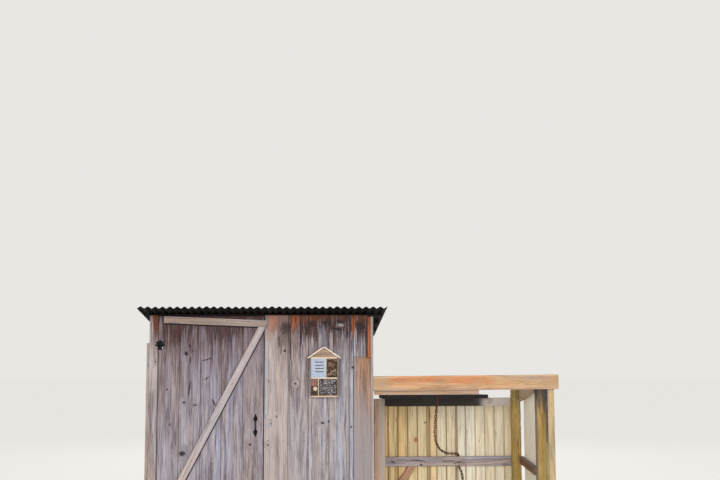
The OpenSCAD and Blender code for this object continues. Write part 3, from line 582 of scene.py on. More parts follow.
def sheets_group():
    """Group that makes lapped corrugated sheets, side by side, in a flat plane."""
    inputs = [("Pitch", "Float"), ("Wave height", "Float"), ("Waves", "Int"), ("Sheets", "Int"), ("Total", "Float"),
              ("Length", "Float"), ("Lift", "Float"), ("Material", "Material")]
    group, tree, value = new_group("Corrugated sheets", inputs)
    cover = value["Pitch"] * value["Waves"]
    width = cover + value["Pitch"]
    columns = (value["Waves"] + 1) * 12 + 1
    grid = tree.add("GeometryNodeMeshGrid", {
        "Size X": width, "Size Y": value["Length"], "Vertices X": columns, "Vertices Y": 28})
    x, y, _ = tree.parts(tree.add("GeometryNodeInputPosition"))
    across = x + width * 0.5
    waves = across.math("DIVIDE", value["Pitch"])
    wave = (1 - (waves * (2 * math.pi)).math("COSINE")) * value["Wave height"] * 0.5
    lift = value["Lift"] * (2 - waves).math("MINIMUM", 1.0).math("MAXIMUM", 0.0)
    shifted = tree.add("ShaderNodeCombineXYZ", [across, y + value["Length"] * 0.5, wave + lift])
    sheet = tree.add("GeometryNodeSetPosition", {"Geometry": grid, "Position": shifted})
    step = tree.add("ShaderNodeCombineXYZ", [cover, 0.0, 0.0])
    row = tree.add("GeometryNodeMeshLine", {"Count": value["Sheets"], "Offset": step})
    placed = tree.add("GeometryNodeInstanceOnPoints", {"Points": row, "Instance": sheet})
    real = tree.add("GeometryNodeRealizeInstances", {"Geometry": placed})
    place = tree.add("GeometryNodeInputPosition")
    dents = tree.noise(place, (2.3, 1.7, 2.3), 2.0) - 0.5
    bump = tree.add("ShaderNodeCombineXYZ", [0.0, 0.0, dents * 0.006])
    dented = tree.add("GeometryNodeSetPosition", {"Geometry": real, "Offset": bump})
    past = tree.parts(place)[0].math("GREATER_THAN", value["Total"])
    cut = tree.add("GeometryNodeDeleteGeometry", {"Geometry": dented, "Selection": past})
    tree.add_output(tree.add("GeometryNodeSetMaterial", {"Geometry": cut, "Material": value["Material"]}))
    return group


# ---- Finishes of the wood. Each lays stains, cracks and bare places over the wood's colour; some also lay painted shade.

# Knots on the front of the house: X, Z, half width and half height
FRONT_KNOTS = [
    (0.232, 1.853, 0.010, 0.011), (0.335, 1.538, 0.009, 0.009), (0.157, 1.226, 0.007, 0.009),
    (0.897, 1.692, 0.010, 0.011), (0.872, 1.124, 0.007, 0.009), (0.972, 0.884, 0.010, 0.012),
    (0.597, 1.164, 0.014, 0.010), (-1.002, 1.752, 0.007, 0.009), (-0.947, 0.905, 0.007, 0.008),
    (0.072, 1.560, 0.010, 0.007), (0.077, 0.96, 0.010, 0.010), (0.657, 1.177, 0.008, 0.012),
]
DOOR_KNOTS = [
    (-0.710, 1.830, 0.018, 0.018), (-0.725, 1.365, 0.012, 0.010), (-0.888, 1.490, 0.008, 0.009),
    (-0.858, 1.159, 0.007, 0.008), (-0.735, 0.885, 0.026, 0.020), (-0.093, 0.964, 0.011, 0.010),
    (-0.677, 1.903, 0.008, 0.016), (-0.62, 1.34, 0.016, 0.006), (-0.650, 1.853, 0.010, 0.010),
]
# Strokes and cracks: X, Z, half length, half width and slant in degrees
FRONT_STROKES = [
    (0.762, 2.132, 0.036, 0.011, -23), (0.730, 2.063, 0.048, 0.013, -8), (0.614, 2.122, 0.018, 0.018, 0),
    (0.381, 2.020, 0.170, 0.004, 90), (0.232, 1.853, 0.011, 0.011, 0), (0.886, 1.692, 0.011, 0.011, 0),
    (0.075, 1.560, 0.008, 0.008, 0),
]
DOOR_STROKES = [
    (-0.522, 1.769, 0.040, 0.005, 13), (-0.484, 1.781, 0.011, 0.008, 40), (-0.511, 1.593, 0.024, 0.006, 38),
    (-0.710, 1.828, 0.013, 0.014, 0), (-0.672, 1.766, 0.009, 0.012, 0), (-0.677, 1.900, 0.007, 0.013, 0),
    (-0.463, 1.850, 0.110, 0.004, 90), (-0.565, 1.680, 0.070, 0.003, 90), (-0.676, 1.500, 0.070, 0.007, 84),
    (-0.671, 1.765, 0.034, 0.007, 86), (-0.440, 1.360, 0.034, 0.008, 118), (-0.318, 1.680, 0.010, 0.004, 90),
]
RAIL_CRACKS = [
    (1.345, 0.700, 0.022, 0.008, -20), (1.60, 0.716, 0.050, 0.005, -6), (1.64, 0.668, 0.014, 0.009, 0),
    (1.93, 0.706, 0.060, 0.004, 3), (2.02, 0.690, 0.036, 0.006, 12),
]
# Blots, hot spots and small marks: X, Z, half width and half height
WALL_BLOTS = [
    (0.236, 2.070, 0.046, 0.062), (0.500, 2.112, 0.040, 0.034), (0.444, 2.050, 0.014, 0.045),
    (0.960, 2.090, 0.048, 0.050), (1.026, 2.010, 0.006, 0.090), (0.831, 2.020, 0.014, 0.050),
    (0.175, 1.950, 0.012, 0.070),
]
WALL_PALE = [(0.772, 2.100, 0.032, 0.017)]
PATCH_END = [(1.045, 1.785, 0.045, 0.014)]
HEADER_HOT = [(1.93, 1.553, 0.12, 0.022), (1.64, 1.57, 0.06, 0.014), (1.35, 1.59, 0.08, 0.006)]
HEADER_SMUDGES = [(2.66, 1.585, 0.12, 0.012), (2.585, 1.525, 0.02, 0.008)]
PALE_KNOT = [(1.589, 0.923, 0.018, 0.027)]
PALE_MARKS = [(1.385, 1.135, 0.006, 0.020), (1.30, 1.09, 0.008, 0.012), (1.69, 1.10, 0.014, 0.010),
              (1.74, 1.19, 0.008, 0.05)]
# Water stains and bare wood at the tops of the boards: low X, high X and reach
SOAKED_WALL = [
    (0.150, 0.196, 0.14), (0.196, 0.285, 0.24), (0.285, 0.388, 0.13), (0.388, 0.545, 0.18), (0.545, 0.70, 0.14),
    (0.70, 0.885, 0.15), (0.922, 1.020, 0.18), (1.020, 1.034, 0.34), (-1.024, -0.992, 0.16),
]
SOAKED_DOOR = [
    (-0.940, -0.765, 0.22), (-0.765, -0.60, 0.17), (-0.60, -0.48, 0.12), (-0.48, -0.385, 0.22), (-0.385, -0.33, 0.14),
    (-0.33, -0.28, 0.21), (-0.28, -0.17, 0.14), (-0.17, 0.03, 0.05),
]
BARE = [
    (-1.038, -0.964, 0.17), (0.085, 0.160, 0.18), (0.160, 0.290, 0.05), (0.290, 0.372, 0.13), (0.372, 0.60, 0.05),
    (0.886, 0.918, 0.15), (0.918, 1.034, 0.03),
]


def brace_corners():
    """Corners of the brace: foot left and right, head right and left."""
    _, x1, y, _, z0, z1 = edges("door_brace")
    co = np.array([v.co for v in NODES["door_brace"].data.vertices])
    low = co[co[:, 2] < z0 + 0.001]
    right = co[co[:, 0] > x1 - 0.001]
    left = co[co[:, 2] > z1 - 0.001]
    return [(low[:, 0].min(), y, z0), (low[:, 0].max(), y, z0), (x1, y, right[:, 2].max()), (left[:, 0].min(), y, z1)]


def shadow_and_dirt_lines():
    """Lines of painted shadow and dirt on the door's boards, under the top ledge and along the brace's right edge."""
    x0, x1, y, _, _, z1 = edges("door_ledges")
    _, foot, head, _ = brace_corners()
    return [((x1, y, z1 - LEDGE - DROP), (x0 + LEDGE_IN, y, z1 - LEDGE)), (foot, head)]


def reach_down(x, places):
    """How far a stain reaches down the boards, by X."""
    total = 0.0
    for low, high, reach in places:
        total = x.band(low, high, 0.012) * reach + total
    return total


def wall_marks(tree, place, colour, colours, drips, runs):
    """Warmer on the left, with a pale board, black blots and a pale spot."""
    x = tree.parts(place)[0]
    warmth = tree.mix(x.ramp(0.45, 0.85), (1.06, 1.02, 0.99, 1), (0.97, 1.0, 1.05, 1))
    colour = tree.mix(1.0, colour, warmth, "MULTIPLY")
    colour = tree.mix(x.band(0.04, 0.26, 0.02) * 0.22, colour, "C8B6B0")
    blot = spots(tree, place, WALL_BLOTS, 1.8).ramp(0.5, 1.5, 0.92, 0.0) * runs.ramp(0.30, 0.55, 1.0, 0.7)
    colour = tree.mix(blot, colour, shade(colours.stain, 0.40, 0.30, 0.30))
    pale = spots(tree, place, WALL_PALE, 1.2)
    return tree.mix(pale.ramp(0.5, 1.4, 0.75, 0.0), colour, shade(colours.front, 1.05))


def door_marks(tree, place, colour, colours, drips, runs):
    """Duller above, with lines of painted shadow and dirt."""
    x, _, z = tree.parts(place)
    dull = (z + (drips - 0.5) * 0.5).ramp(0.9, 1.9) * 0.24
    colour = tree.mix(dull, colour, shade(colours.stain, 2.0, 1.95, 2.0))
    for (ax, _, az), (bx, _, bz) in shadow_and_dirt_lines():
        long = math.hypot(bx - ax, bz - az)
        out = ((bz - az) / long, 0, (ax - bx) / long)
        off = tree.vector("DOT_PRODUCT", place, out, out=1) - (ax * out[0] + az * out[2])
        line = off.band(-0.01, 0.006, 0.007) * x.band(min(ax, bx), max(ax, bx), 0.004)
        # Painted shadow and dirt along the line
        colour = tree.mix(line * 0.93, colour, shade(colours.stain, 0.25))
    return colour


def front_finish(places, veil_tone, bare_share, marks, strokes):
    """Finish with water stains and bare wood below the roof, strokes, cracks and splashed feet."""

    def finish(tree, place, colour, colours):
        x, _, z = tree.parts(place)
        below = BOARD_TOP - z
        drips = tree.noise(place, (19, 1, 3.0), 4.0, 0.65)
        runs = tree.noise(place, (95, 1, 5.5), 3.0, 0.65)
        wander = (drips - 0.5) * 0.34 + (runs - 0.5) * 0.34
        soaked = reach_down(x, places) + wander
        veil = (soaked * 1.3 + 0.15 - below).ramp(-0.24, 0.12) * runs.ramp(0.38, 0.62, 0.2, 0.8)
        colour = tree.mix(veil, colour, shade(colours.stain, *veil_tone))
        dark = (soaked + 0.01 - below).ramp(-0.10, 0.05) * runs.ramp(0.32, 0.50, 0.5, 1.0)
        black, brown = shade(colours.stain, 0.5, 0.38, 0.34), shade(colours.stain, 1.9, 1.15, 0.75)
        colour = tree.mix(dark * 0.95, colour, tree.mix(runs.ramp(0.46, 0.64), black, brown))
        if bare_share:
            orange = (reach_down(x, BARE) + wander - 0.01 - below).ramp(-0.06, 0.04) * runs.ramp(0.36, 0.54, 0.25, 1.0)
            vivid = x.band(0.09, 0.150, 0.02) + x.band(0.305, 0.36, 0.015) + x.band(0.89, 0.91, 0.01)
            dull, bright = shade(colours.fresh, 0.42, 0.30, 0.22), shade(colours.fresh, 1.30, 1.0, 0.8)
            colour = tree.mix(orange * bare_share, colour, tree.mix(vivid * drips.ramp(0.40, 0.56), dull, bright))
        # Painted shade: a dark band just below the roof
        rim = below.ramp(0.0, 0.06, 0.7, 0.0) * drips.ramp(0.35, 0.6)
        colour = tree.mix(rim, colour, shade(colours.fresh, 0.34, 0.30, 0.20))
        colour = marks(tree, place, colour, colours, drips, runs)
        stroke = spots(tree, place, strokes, 0.7)
        colour = tree.mix(stroke.ramp(0.6, 1.5, 0.88, 0.0), colour, shade(colours.stain, 0.35, 0.33, 0.45))
        foot = (drips * 0.5 - z).ramp(-0.15, 0.25)
        return tree.mix(foot * 0.5, colour, shade(colours.front, 0.45, 0.42, 0.36))

    return finish


WALL_FINISH = front_finish(SOAKED_WALL, (2.1, 1.85, 1.85), 0.85, wall_marks, FRONT_STROKES)
DOOR_FINISH = front_finish(SOAKED_DOOR, (2.3, 2.2, 2.3), 0.0, door_marks, DOOR_STROKES)


def patch_finish(tree, place, colour, colours):
    """Grey veil below and at the left, and a dark orange end mark."""
    x, _, z = tree.parts(place)
    cloud = tree.noise(place, (9, 1, 2.0), 3.0)
    colour = tree.mix((z + cloud * 0.5).ramp(1.2, 1.95, 0.85, 0.0), colour, shade(colours.front, 0.93))
    left = x.ramp(0.90, 0.96, 0.6, 0.0) * cloud.ramp(0.35, 0.6)
    colour = tree.mix(left, colour, shade(colours.front, 0.95))
    end = spots(tree, place, PATCH_END, 0.8)
    return tree.mix(end.ramp(0.6, 1.3, 0.85, 0.0), colour, shade(colours.fresh, 0.75, 0.6, 0.45))


def ledge_finish(tree, place, colour, colours):
    """Browner towards the hinges."""
    cloud = tree.noise(place, (4, 1, 12), 3.0)
    left = tree.parts(place)[0].ramp(-0.95, -0.35, 0.55, 0.0)
    return tree.mix(left * cloud.ramp(0.3, 0.6), colour, "A5877A")


def side_finish(tree, place, colour, colours):
    """Damp feet."""
    damp = tree.noise(place, (6, 6, 1.2), 3.0) * 0.7 - tree.parts(place)[2]
    return tree.mix(damp.ramp(-0.2, 0.3) * 0.6, colour, shade(colours.side, 0.42, 0.42, 0.34))


def post_timber_finish(tree, place, colour, colours):
    """Pale runs and a redder top on the right, and grey on the left."""
    x, _, z = tree.parts(place)
    runs = tree.noise(place, (60, 60, 3), 3.0, 0.6)
    colour = tree.mix(runs.ramp(0.45, 0.6) * 0.6, colour, shade(colours.timber, 1.2, 1.35, 1.5))
    colour = tree.mix(z.ramp(1.9, 2.05) * 0.4, colour, shade(colours.timber, 0.9, 0.6, 0.6))
    return tree.mix(x.ramp(0.9, 0.95, 0.8, 0.0), colour, shade(colours.front, 0.5, 0.44, 0.42))


def rafter_finish(tree, place, colour, colours):
    """Bare wood on the right one."""
    right = tree.parts(place)[0].ramp(1.0, 1.02, 0.0, 0.9)
    return tree.mix(right, colour, shade(colours.timber, 0.8, 0.7, 0.6))


def header_finish(tree, place, colour, colours):
    """Orange zone in the middle, lilac lower edge, smudges, greyer ends and a pale top edge."""
    x, _, z = tree.parts(place)
    cloud = tree.noise(place, (3.0, 1, 18), 4.0, 0.65)
    lines = tree.noise(place, (4.0, 1, 75), 3.0, 0.65)
    zone = x.band(1.27, 2.22, 0.08) * (cloud * 0.7 + lines * 0.7 + (z - 1.55) * 3.5).ramp(0.58, 0.80)
    colour = tree.mix(zone * 0.62, colour, "CE8656")
    hot = spots(tree, place, HEADER_HOT, 1.6)
    colour = tree.mix(hot.ramp(0.4, 1.8, 0.6, 0.0) * lines.ramp(0.34, 0.56), colour, "DA7A42")
    lilac = (z + cloud * 0.03).ramp(1.485, 1.525, 1.0, 0.0) * lines.ramp(0.40, 0.58)
    colour = tree.mix(lilac * 0.55, colour, "B9A096")
    smudge = spots(tree, place, HEADER_SMUDGES, 1.2)
    colour = tree.mix(smudge.ramp(0.5, 1.8, 0.6, 0.0), colour, "8D7F84")
    ends = x.ramp(1.20, 1.27, 0.45, 0.0) + x.ramp(2.3, 2.6) * 0.35
    colour = tree.mix(ends * lines.ramp(0.32, 0.60), colour, "B09C84")
    top = (z - (x - 1.087) * 0.0066).ramp(1.585, 1.592) * lines.ramp(0.4, 0.6)
    return tree.mix(top * 0.4, colour, "F0D0A8")


def front_post_finish(tree, place, colour, colours):
    """Dark top and right edge, and moss."""
    x, _, z = tree.parts(place)
    cloud = tree.noise(place, (18, 18, 3.0), 4.0, 0.65)
    colour = tree.mix((cloud + z * 1.4).ramp(2.20, 2.50) * 0.9, colour, "2F2D35")
    streak = x.ramp(2.755, 2.785) * (cloud + z * 0.3).ramp(0.72, 0.90)
    colour = tree.mix(streak * 0.75, colour, "35313A")
    return tree.mix((cloud - z * 0.2).ramp(0.3, 0.55) * 0.35, colour, "7E7A3A")


def round_post_finish(tree, place, colour, colours):
    """Green clouds."""
    cloud = tree.noise(place, (12, 12, 1.5), 3.0)
    return tree.mix(cloud.ramp(0.45, 0.7) * 0.45, colour, "6F7038")


def rail_finish(tree, place, colour, colours):
    """Paler top rail with the roof planks' shadow painted black on its left, with clouds and cracks."""
    x, _, z = tree.parts(place)
    cloud = tree.noise(place, (5, 5, 12), 3.0, 0.65)
    top = z.ramp(1.2, 1.28)
    colour = tree.mix(top * 0.85, colour, "D5CAC2")
    # Painted shadow of the roof planks, black on the top rail's left
    colour = tree.mix(top * x.ramp(2.24, 2.34, 0.93, 0.0), colour, "17120F")
    colour = tree.mix((cloud - 0.05).ramp(0.52, 0.62) * 0.4, colour, "5B4A44")
    crack = spots(tree, place, RAIL_CRACKS, 1.0)
    return tree.mix(crack.ramp(0.6, 1.6, 0.85, 0.0), colour, "2B2526")


def left_post_finish(tree, place, colour, colours):
    """Greyer right half."""
    return tree.mix(tree.parts(place)[0].ramp(1.185, 1.205) * 0.6, colour, "DCD6D0")


def side_rail_finish(tree, place, colour, colours):
    """Paler top rail."""
    return tree.mix(tree.parts(place)[2].ramp(1.1, 1.2, 0.0, 0.75), colour, "C4AA8E")


def lean_to_finish(tree, place, colour, colours):
    """Golden on the left, pale seams on the right, an orange knot, small marks and damp feet."""
    x, _, z = tree.parts(place)
    on_side = x.ramp(2.69, 2.70)
    on_back = x.ramp(2.69, 2.70, 1.0, 0.0)
    edge = tree.attribute("edge", 2)
    colour = tree.mix(edge.ramp(0.0, 0.012, 1.0, 0.0) * x.ramp(2.05, 2.2) * 0.55, colour, shade(colours.pale))
    colour = tree.mix(on_back * x.ramp(1.35, 2.2, 1.0, 0.0), colour, (0.98, 0.82, 0.56, 1), "MULTIPLY")
    knot = spots(tree, place, PALE_KNOT, 0.8)
    colour = tree.mix(knot.ramp(0.5, 1.4, 0.85, 0.0), colour, "AE5A32")
    mark = spots(tree, place, PALE_MARKS, 1.6)
    colour = tree.mix(mark.ramp(0.5, 1.6, 0.7, 0.0), colour, "6E5230")
    brown = x.band(1.722, 1.742, 0.006) * 0.65 + x.band(2.024, 2.032, 0.004) * 0.7
    colour = tree.mix(on_back * brown, colour, "6B4E2C")
    cloud = tree.noise(place, (5, 5, 0.8), 3.0)
    golden = tree.noise(place, (26, 26, 0.9), 2.0).ramp(0.5, 0.68)
    colour = tree.mix(golden * x.ramp(1.2, 2.1, 0.5, 0.12) * on_back, colour, shade(colours.seam))
    colour = tree.mix(on_side * 0.8, colour, "FFF8EA")
    return tree.mix((cloud * 0.6 - z).ramp(-0.2, 0.3) * 0.5, colour, "6E6648")


# ---- Operators


class OUTHOUSE_OT_stage(Operator):
    """Camera, pale floor, world and soft lamps"""

    bl_idname = "outhouse.stage"
    bl_label = "Stage"

    def execute(self, context):
        scene = context.scene
        settings = scene.outhouse_stage
        yaw, pitch, roll = (math.radians(a) for a in (3.033, 6.312, -0.156))
        forward = Vector((math.sin(yaw) * math.cos(pitch), math.cos(yaw) * math.cos(pitch), math.sin(pitch)))
        level = Vector((math.cos(yaw), -math.sin(yaw), 0))
        rise = level.cross(forward)
        side = level * math.cos(roll) + rise * math.sin(roll)
        top = rise * math.cos(roll) - level * math.sin(roll)
        data = bpy.data.cameras.new("camera")
        data.lens = 50.98
        data.sensor_width = 36
        data.clip_end = 200
        camera = bpy.data.objects.new("camera", data)
        turn = Matrix((side, top, -forward)).transposed().to_4x4()
        camera.matrix_world = Matrix.Translation((0.436, -10.666, 1.832)) @ turn
        scene.collection.objects.link(camera)
        scene.camera = camera
        scene.view_settings.view_transform = "Standard"

        world = bpy.data.worlds.new("world")
        world.use_nodes = True
        world.node_tree.nodes.clear()
        tree = Tree(world.node_tree)
        paths = tree.add("ShaderNodeLightPath").socket.node.outputs
        seen = Value(tree, paths["Is Camera Ray"]) + Value(tree, paths["Is Glossy Ray"])
        seen = (seen + Value(tree, paths["Is Transmission Ray"])).math("MINIMUM", 1.0)
        light = tree.add("ShaderNodeBackground", [(1.0, 0.99, 0.97, 1), settings.sky])
        back = tree.add("ShaderNodeBackground", [shade(settings.floor), 1.0])
        tree.add("ShaderNodeOutputWorld", [tree.add("ShaderNodeMixShader", [seen, light, back])])
        scene.world = world

        mesh = bpy.data.meshes.new("floor")
        reach = 60
        corners = [(-reach, -reach, 0), (reach, -reach, 0), (reach, reach, 0), (-reach, reach, 0)]
        mesh.from_pydata(corners, [], [(0, 1, 2, 3)])
        floor = bpy.data.objects.new("floor", mesh)
        material, tree = new_material("floor")
        cloud = tree.noise(tree.object_place(), (0.4, 0.4, 0.4), 2.0)
        tone = tree.mix(cloud, shade(settings.floor, 0.99), shade(settings.floor, 1.01))
        lit = tree.add("ShaderNodeBsdfDiffuse", {"Color": tone})
        glow = tree.add("ShaderNodeEmission", {"Color": shade(settings.floor, settings.glow), "Strength": 1.0})
        view = Value(tree, tree.add("ShaderNodeLightPath").socket.node.outputs["Is Camera Ray"])
        tree.add("ShaderNodeOutputMaterial", [tree.add("ShaderNodeMixShader", [view * 0.65, lit, glow])])
        mesh.materials.append(material)
        scene.collection.objects.link(floor)

        lamps = (("key", (-2.0, -9.5, 3.4), 4.5, 520), ("fill", (4.5, -9.0, 2.6), 4.5, 420),
                 ("back", (1.5, 9.0, 6.0), 6.0, 520))
        for name, place, size_m, watts in lamps:
            lamp = bpy.data.lights.new(name, "AREA")
            lamp.shape = "DISK"
            lamp.size = size_m
            lamp.energy = settings.key * watts
            lamp_object = bpy.data.objects.new(name, lamp)
            lamp_object.location = place
            lamp_object.rotation_euler = (Vector((0.6, 0, 1)) - Vector(place)).to_track_quat("-Z", "Y").to_euler()
            scene.collection.objects.link(lamp_object)
        return {"FINISHED"}


class OUTHOUSE_OT_front_wall(Operator):
    """Boards of the front wall, with the corner boards and the strip beside the door"""

    bl_idname = "outhouse.front_wall"
    bl_label = "Front wall"

    def execute(self, context):
        colours = context.scene.outhouse_colours
        boards = Boards(11)
        trim = 0.003
        x0, x1, y0, y1, z0, z1 = edges("front_corner_board")
        thick = y1 - y0
        boards.front(x0, x1, z0, z1 - trim, y0, thick, tone=-0.2)
        start, stop, _, _, z0, z1 = edges("front_wall_right")
        patch_x0, patch_x1, _, _, _, patch_top = edges("corner_patch_board")
        first, strip = 0.227, 0.038
        equal = (patch_x0 - 2 * SEAM - strip - start - first - SEAM) / 3 - SEAM
        x = start
        for width, tone in ((first, -0.2), (equal, 0.1), (equal, 0.7), (equal, 0.2), (strip, 0.5)):
            boards.front(x, x + width, z0, z1 - trim, y0, thick, tone=tone)
            x += width + SEAM
        boards.front(patch_x0, stop, patch_top + SEAM, z1 - trim, y0, thick, tone=0.2)
        boards.finish(
            "front_boards",
            wood("front_wood", colours.front, 1.3, knots=FRONT_KNOTS, hue=0.6, seam_share=0.35, finish=WALL_FINISH),
            "house", "weathered_boards", "front_corner_board", "front_wall_right")

        patch = Boards(12)
        patch.front(patch_x0, patch_x1, z0, patch_top, y0, thick, tone=-0.3)
        patch.finish(
            "patch_board", wood("patch_wood", colours.patch, 1.5, knots=FRONT_KNOTS, finish=patch_finish),
            "house", "patch_wood", "corner_patch_board")

        x0, x1, y0, y1, z0, z1 = edges("jamb_lath")
        lath = Boards(13, ease=0.0015)
        lath.front(x0, x1, z0 + 0.034, z1, y0, y1 - y0, tone=0.3)
        # Its foot is split in two; each half by shares of the width and heights above the foot
        for half in (((0, 0), (0.4, 0.02), (0.46, 0.054), (0, 0.054)),
                     ((0.42, 0.01), (1, 0.04), (1, 0.054), (0.42, 0.054))):
            lath.add(*[(x0 + (x1 - x0) * share, y0, z0 + rise) for share, rise in half], y1 - y0, tone=0.3)
        lath.finish("jamb_strip", wood("lath_wood", "A6A7AF", 0.8), "house", "ledge_wood", "jamb_lath")
        return {"FINISHED"}


class OUTHOUSE_OT_door(Operator):
    """Door boards, the ledges and the brace across them"""

    bl_idname = "outhouse.door"
    bl_label = "Door"

    def execute(self, context):
        colours = context.scene.outhouse_colours
        x0, leaf_x1, y0, y1, z0, z1 = edges("door_leaf")
        boards = Boards(21)
        tones = (-0.6, 0.1, 0.6, -0.1, -0.8)
        for i, ((a, b), tone) in enumerate(zip(shares(x0, leaf_x1, DOOR_BOARDS), tones)):
            boards.front(a, b, z0 + 0.002 * (i % 3), z1 - 0.001 * (i % 2), y0, y1 - y0, tone=tone)
        boards.finish(
            "door_boards", wood("door_wood", colours.door, 1.5, knots=DOOR_KNOTS, hue=0.6, finish=DOOR_FINISH),
            "door", "door_boards", "door_leaf")

        x0, x1, y0, y1, z0, z1 = edges("door_ledges")
        thick = y1 - y0
        left = x0 + LEDGE_IN
        battens = Boards(22, ease=0.002)
        battens.add((left, y0, z1), (left, y0, z1 - LEDGE), (x1, y0, z1 - LEDGE - DROP), (x1, y0, z1 - DROP),
                    thick, tone=-0.4)
        battens.level(x0, leaf_x1 - 0.047, z0, z0 + LEDGE, y0, thick, tone=-0.2)
        battens.finish(
            "door_battens", wood("batten_wood", colours.batten, 0.9, knots=(), hue=0.5, finish=ledge_finish),
            "door", "ledge_wood", "door_ledges")
        brace = Boards(23, ease=0.002)
        brace.add(*brace_corners(), thick, tone=0.2)
        brace.finish("door_brace_board", wood("brace_wood", colours.brace, 0.75, knots=(), hue=0.5),
                     "door", "ledge_wood", "door_brace")
        return {"FINISHED"}


class OUTHOUSE_OT_side_walls(Operator):
    """Boards of the left, right and back walls"""

    bl_idname = "outhouse.side_walls"
    bl_label = "Side and back walls"

    def execute(self, context):
        colours = context.scene.outhouse_colours
        boards = Boards(31)
        x0, x1, y0, y1, z0, z1 = edges("left_wall")
        for a, b in shares(y0, y1, 8, SEAM / 2):
            boards.add((x0, b, z0), (x0, a, z0), (x0, a, z1), (x0, b, z1), x1 - x0)
        x0, x1, y0, y1, z0, _ = edges("right_wall")
        for a, b in shares(y0, y1, 8, SEAM / 2):
            top_a, top_b = roof_z(a) - 0.001, roof_z(b) - 0.001
            boards.add((x1, a, z0), (x1, b, z0), (x1, b, top_b), (x1, a, top_a), x1 - x0)
        x0, x1, y0, y1, z0, _ = edges("back_wall")
        for a, b in shares(x0, x1, 11, SEAM / 2):
            boards.add((b, y1, z0), (a, y1, z0), (a, y1, roof_z(y1)), (b, y1, roof_z(y1)), y1 - y0)
        boards.finish(
            "side_and_back_boards", wood("side_wood", colours.side, 1.1, hue=0.7, finish=side_finish),
            "house", "weathered_boards", "left_wall", "right_wall", "back_wall")
        return {"FINISHED"}


class OUTHOUSE_OT_frame_timber(Operator):
    """Skids, floor, posts, plates, girts, rafters and purlins"""

    bl_idname = "outhouse.frame_timber"
    bl_label = "Frame timber"

    def execute(self, context):
        colours = context.scene.outhouse_colours
        posts = wood("post_timber", colours.timber, 1.0, grain="z", knots=(), finish=post_timber_finish)
        dress(posts, "corner_posts", "top_plates")
        dress(wood("jamb_timber", "544A4A", 1.0, grain="z"), "door_post")
        dress(wood("beam_timber", "7A5A44", 1.0, grain="x"), "wall_girts", "skids")
        dress(wood("floor_timber", "8A7C70", 1.1, grain="x"), "floor_boards")
        dress(wood("rafter_timber", "2C2420", 1.0, grain="y", finish=rafter_finish), "rafters")
        # Near-black purlins: painted shade under the eaves
        dress(wood("purlin_timber", "0C0908", 1.0, grain="x"), "purlins")
        return {"FINISHED"}


class OUTHOUSE_OT_roof(Operator):
    """Lapped corrugated sheets and their screws"""

    bl_idname = "outhouse.roof"
    bl_label = "Roof"

    def execute(self, context):
        sizes = context.scene.outhouse_sizes
        colours = context.scene.outhouse_colours
        x0, x1, y0, y1, z0, z1 = edges("roof_sheets")
        angle = math.atan(ROOF_FALL)
        purlin, rear_overhang = 0.025, 0.12
        front = (FRONT_Y - y0 + purlin * math.sin(angle)) / math.cos(angle)
        length = front + (HOUSE_DEPTH + rear_overhang) / math.cos(angle)
        plane = Matrix.Translation((x0, FRONT_Y, RAFTER_TOP)) @ Matrix.Rotation(-angle, 4, "X")
        # The sheets' near-black tone paints the shade under the eaves, and dust lightens what faces up
        material = metal("roof_steel", colours.roof, shade(colours.rust, 0.25), 0.12, 0.0, 0.8, 0.25, colours.dust)
        values = {"Pitch": sizes.pitch, "Wave height": sizes.wave, "Waves": sizes.waves, "Sheets": 4,
                  "Total": x1 - x0 + 0.0005, "Length": length, "Lift": sizes.sheet + 0.0004, "Material": material}

        def solidify(holder):
            shell = holder.modifiers.new("thickness", "SOLIDIFY")
            shell.thickness = sizes.sheet
            shell.offset = 1.0

        mesh = run_group(sheets_group(), bpy.data.meshes.new("start"), values, solidify)
        mesh.transform(plane @ Matrix.Translation((0, -front, purlin)))
        places = np.array([v.co for v in mesh.vertices])
        mesh.vertices.foreach_set("co", np.clip(places, (x0, y0, z0), (x1, y1, z1)).ravel())
        finished("roof_sheeting", mesh, material, "house", ["roof_sheets"], 60.0)

        # Four rows of screws over the purlins, on every third crest
        crest = purlin + sizes.wave + sizes.sheet
        half_purlin = 0.045
        first, last = 0.0225 / math.cos(angle), HOUSE_DEPTH / math.cos(angle) - 2 * half_purlin
        rows = [first + i * (last - first) / 3 + half_purlin for i in range(4)]
        waves = int((x1 - x0) / sizes.pitch)
        points = [plane @ Vector((sizes.pitch * (i + 0.5), s, crest)) for s in rows for i in range(1, waves, 3)]
        up = (plane.to_3x3() @ Vector((0, 0, 1))).normalized()
        r = sizes.screw
        head = turned([(r, -0.001), (r, 0.0016), (r * 0.62, 0.003), (r * 0.55, 0.0031), (r * 0.52, 0.0075),
                       (r * 0.4, 0.0085)], 12)
        set_out("roof_screws", points, [tuple(up)] * len(points), head,
                metal("screw_steel", "6A6664", colours.rust, 0.6, 0.7), "house")
        return {"FINISHED"}


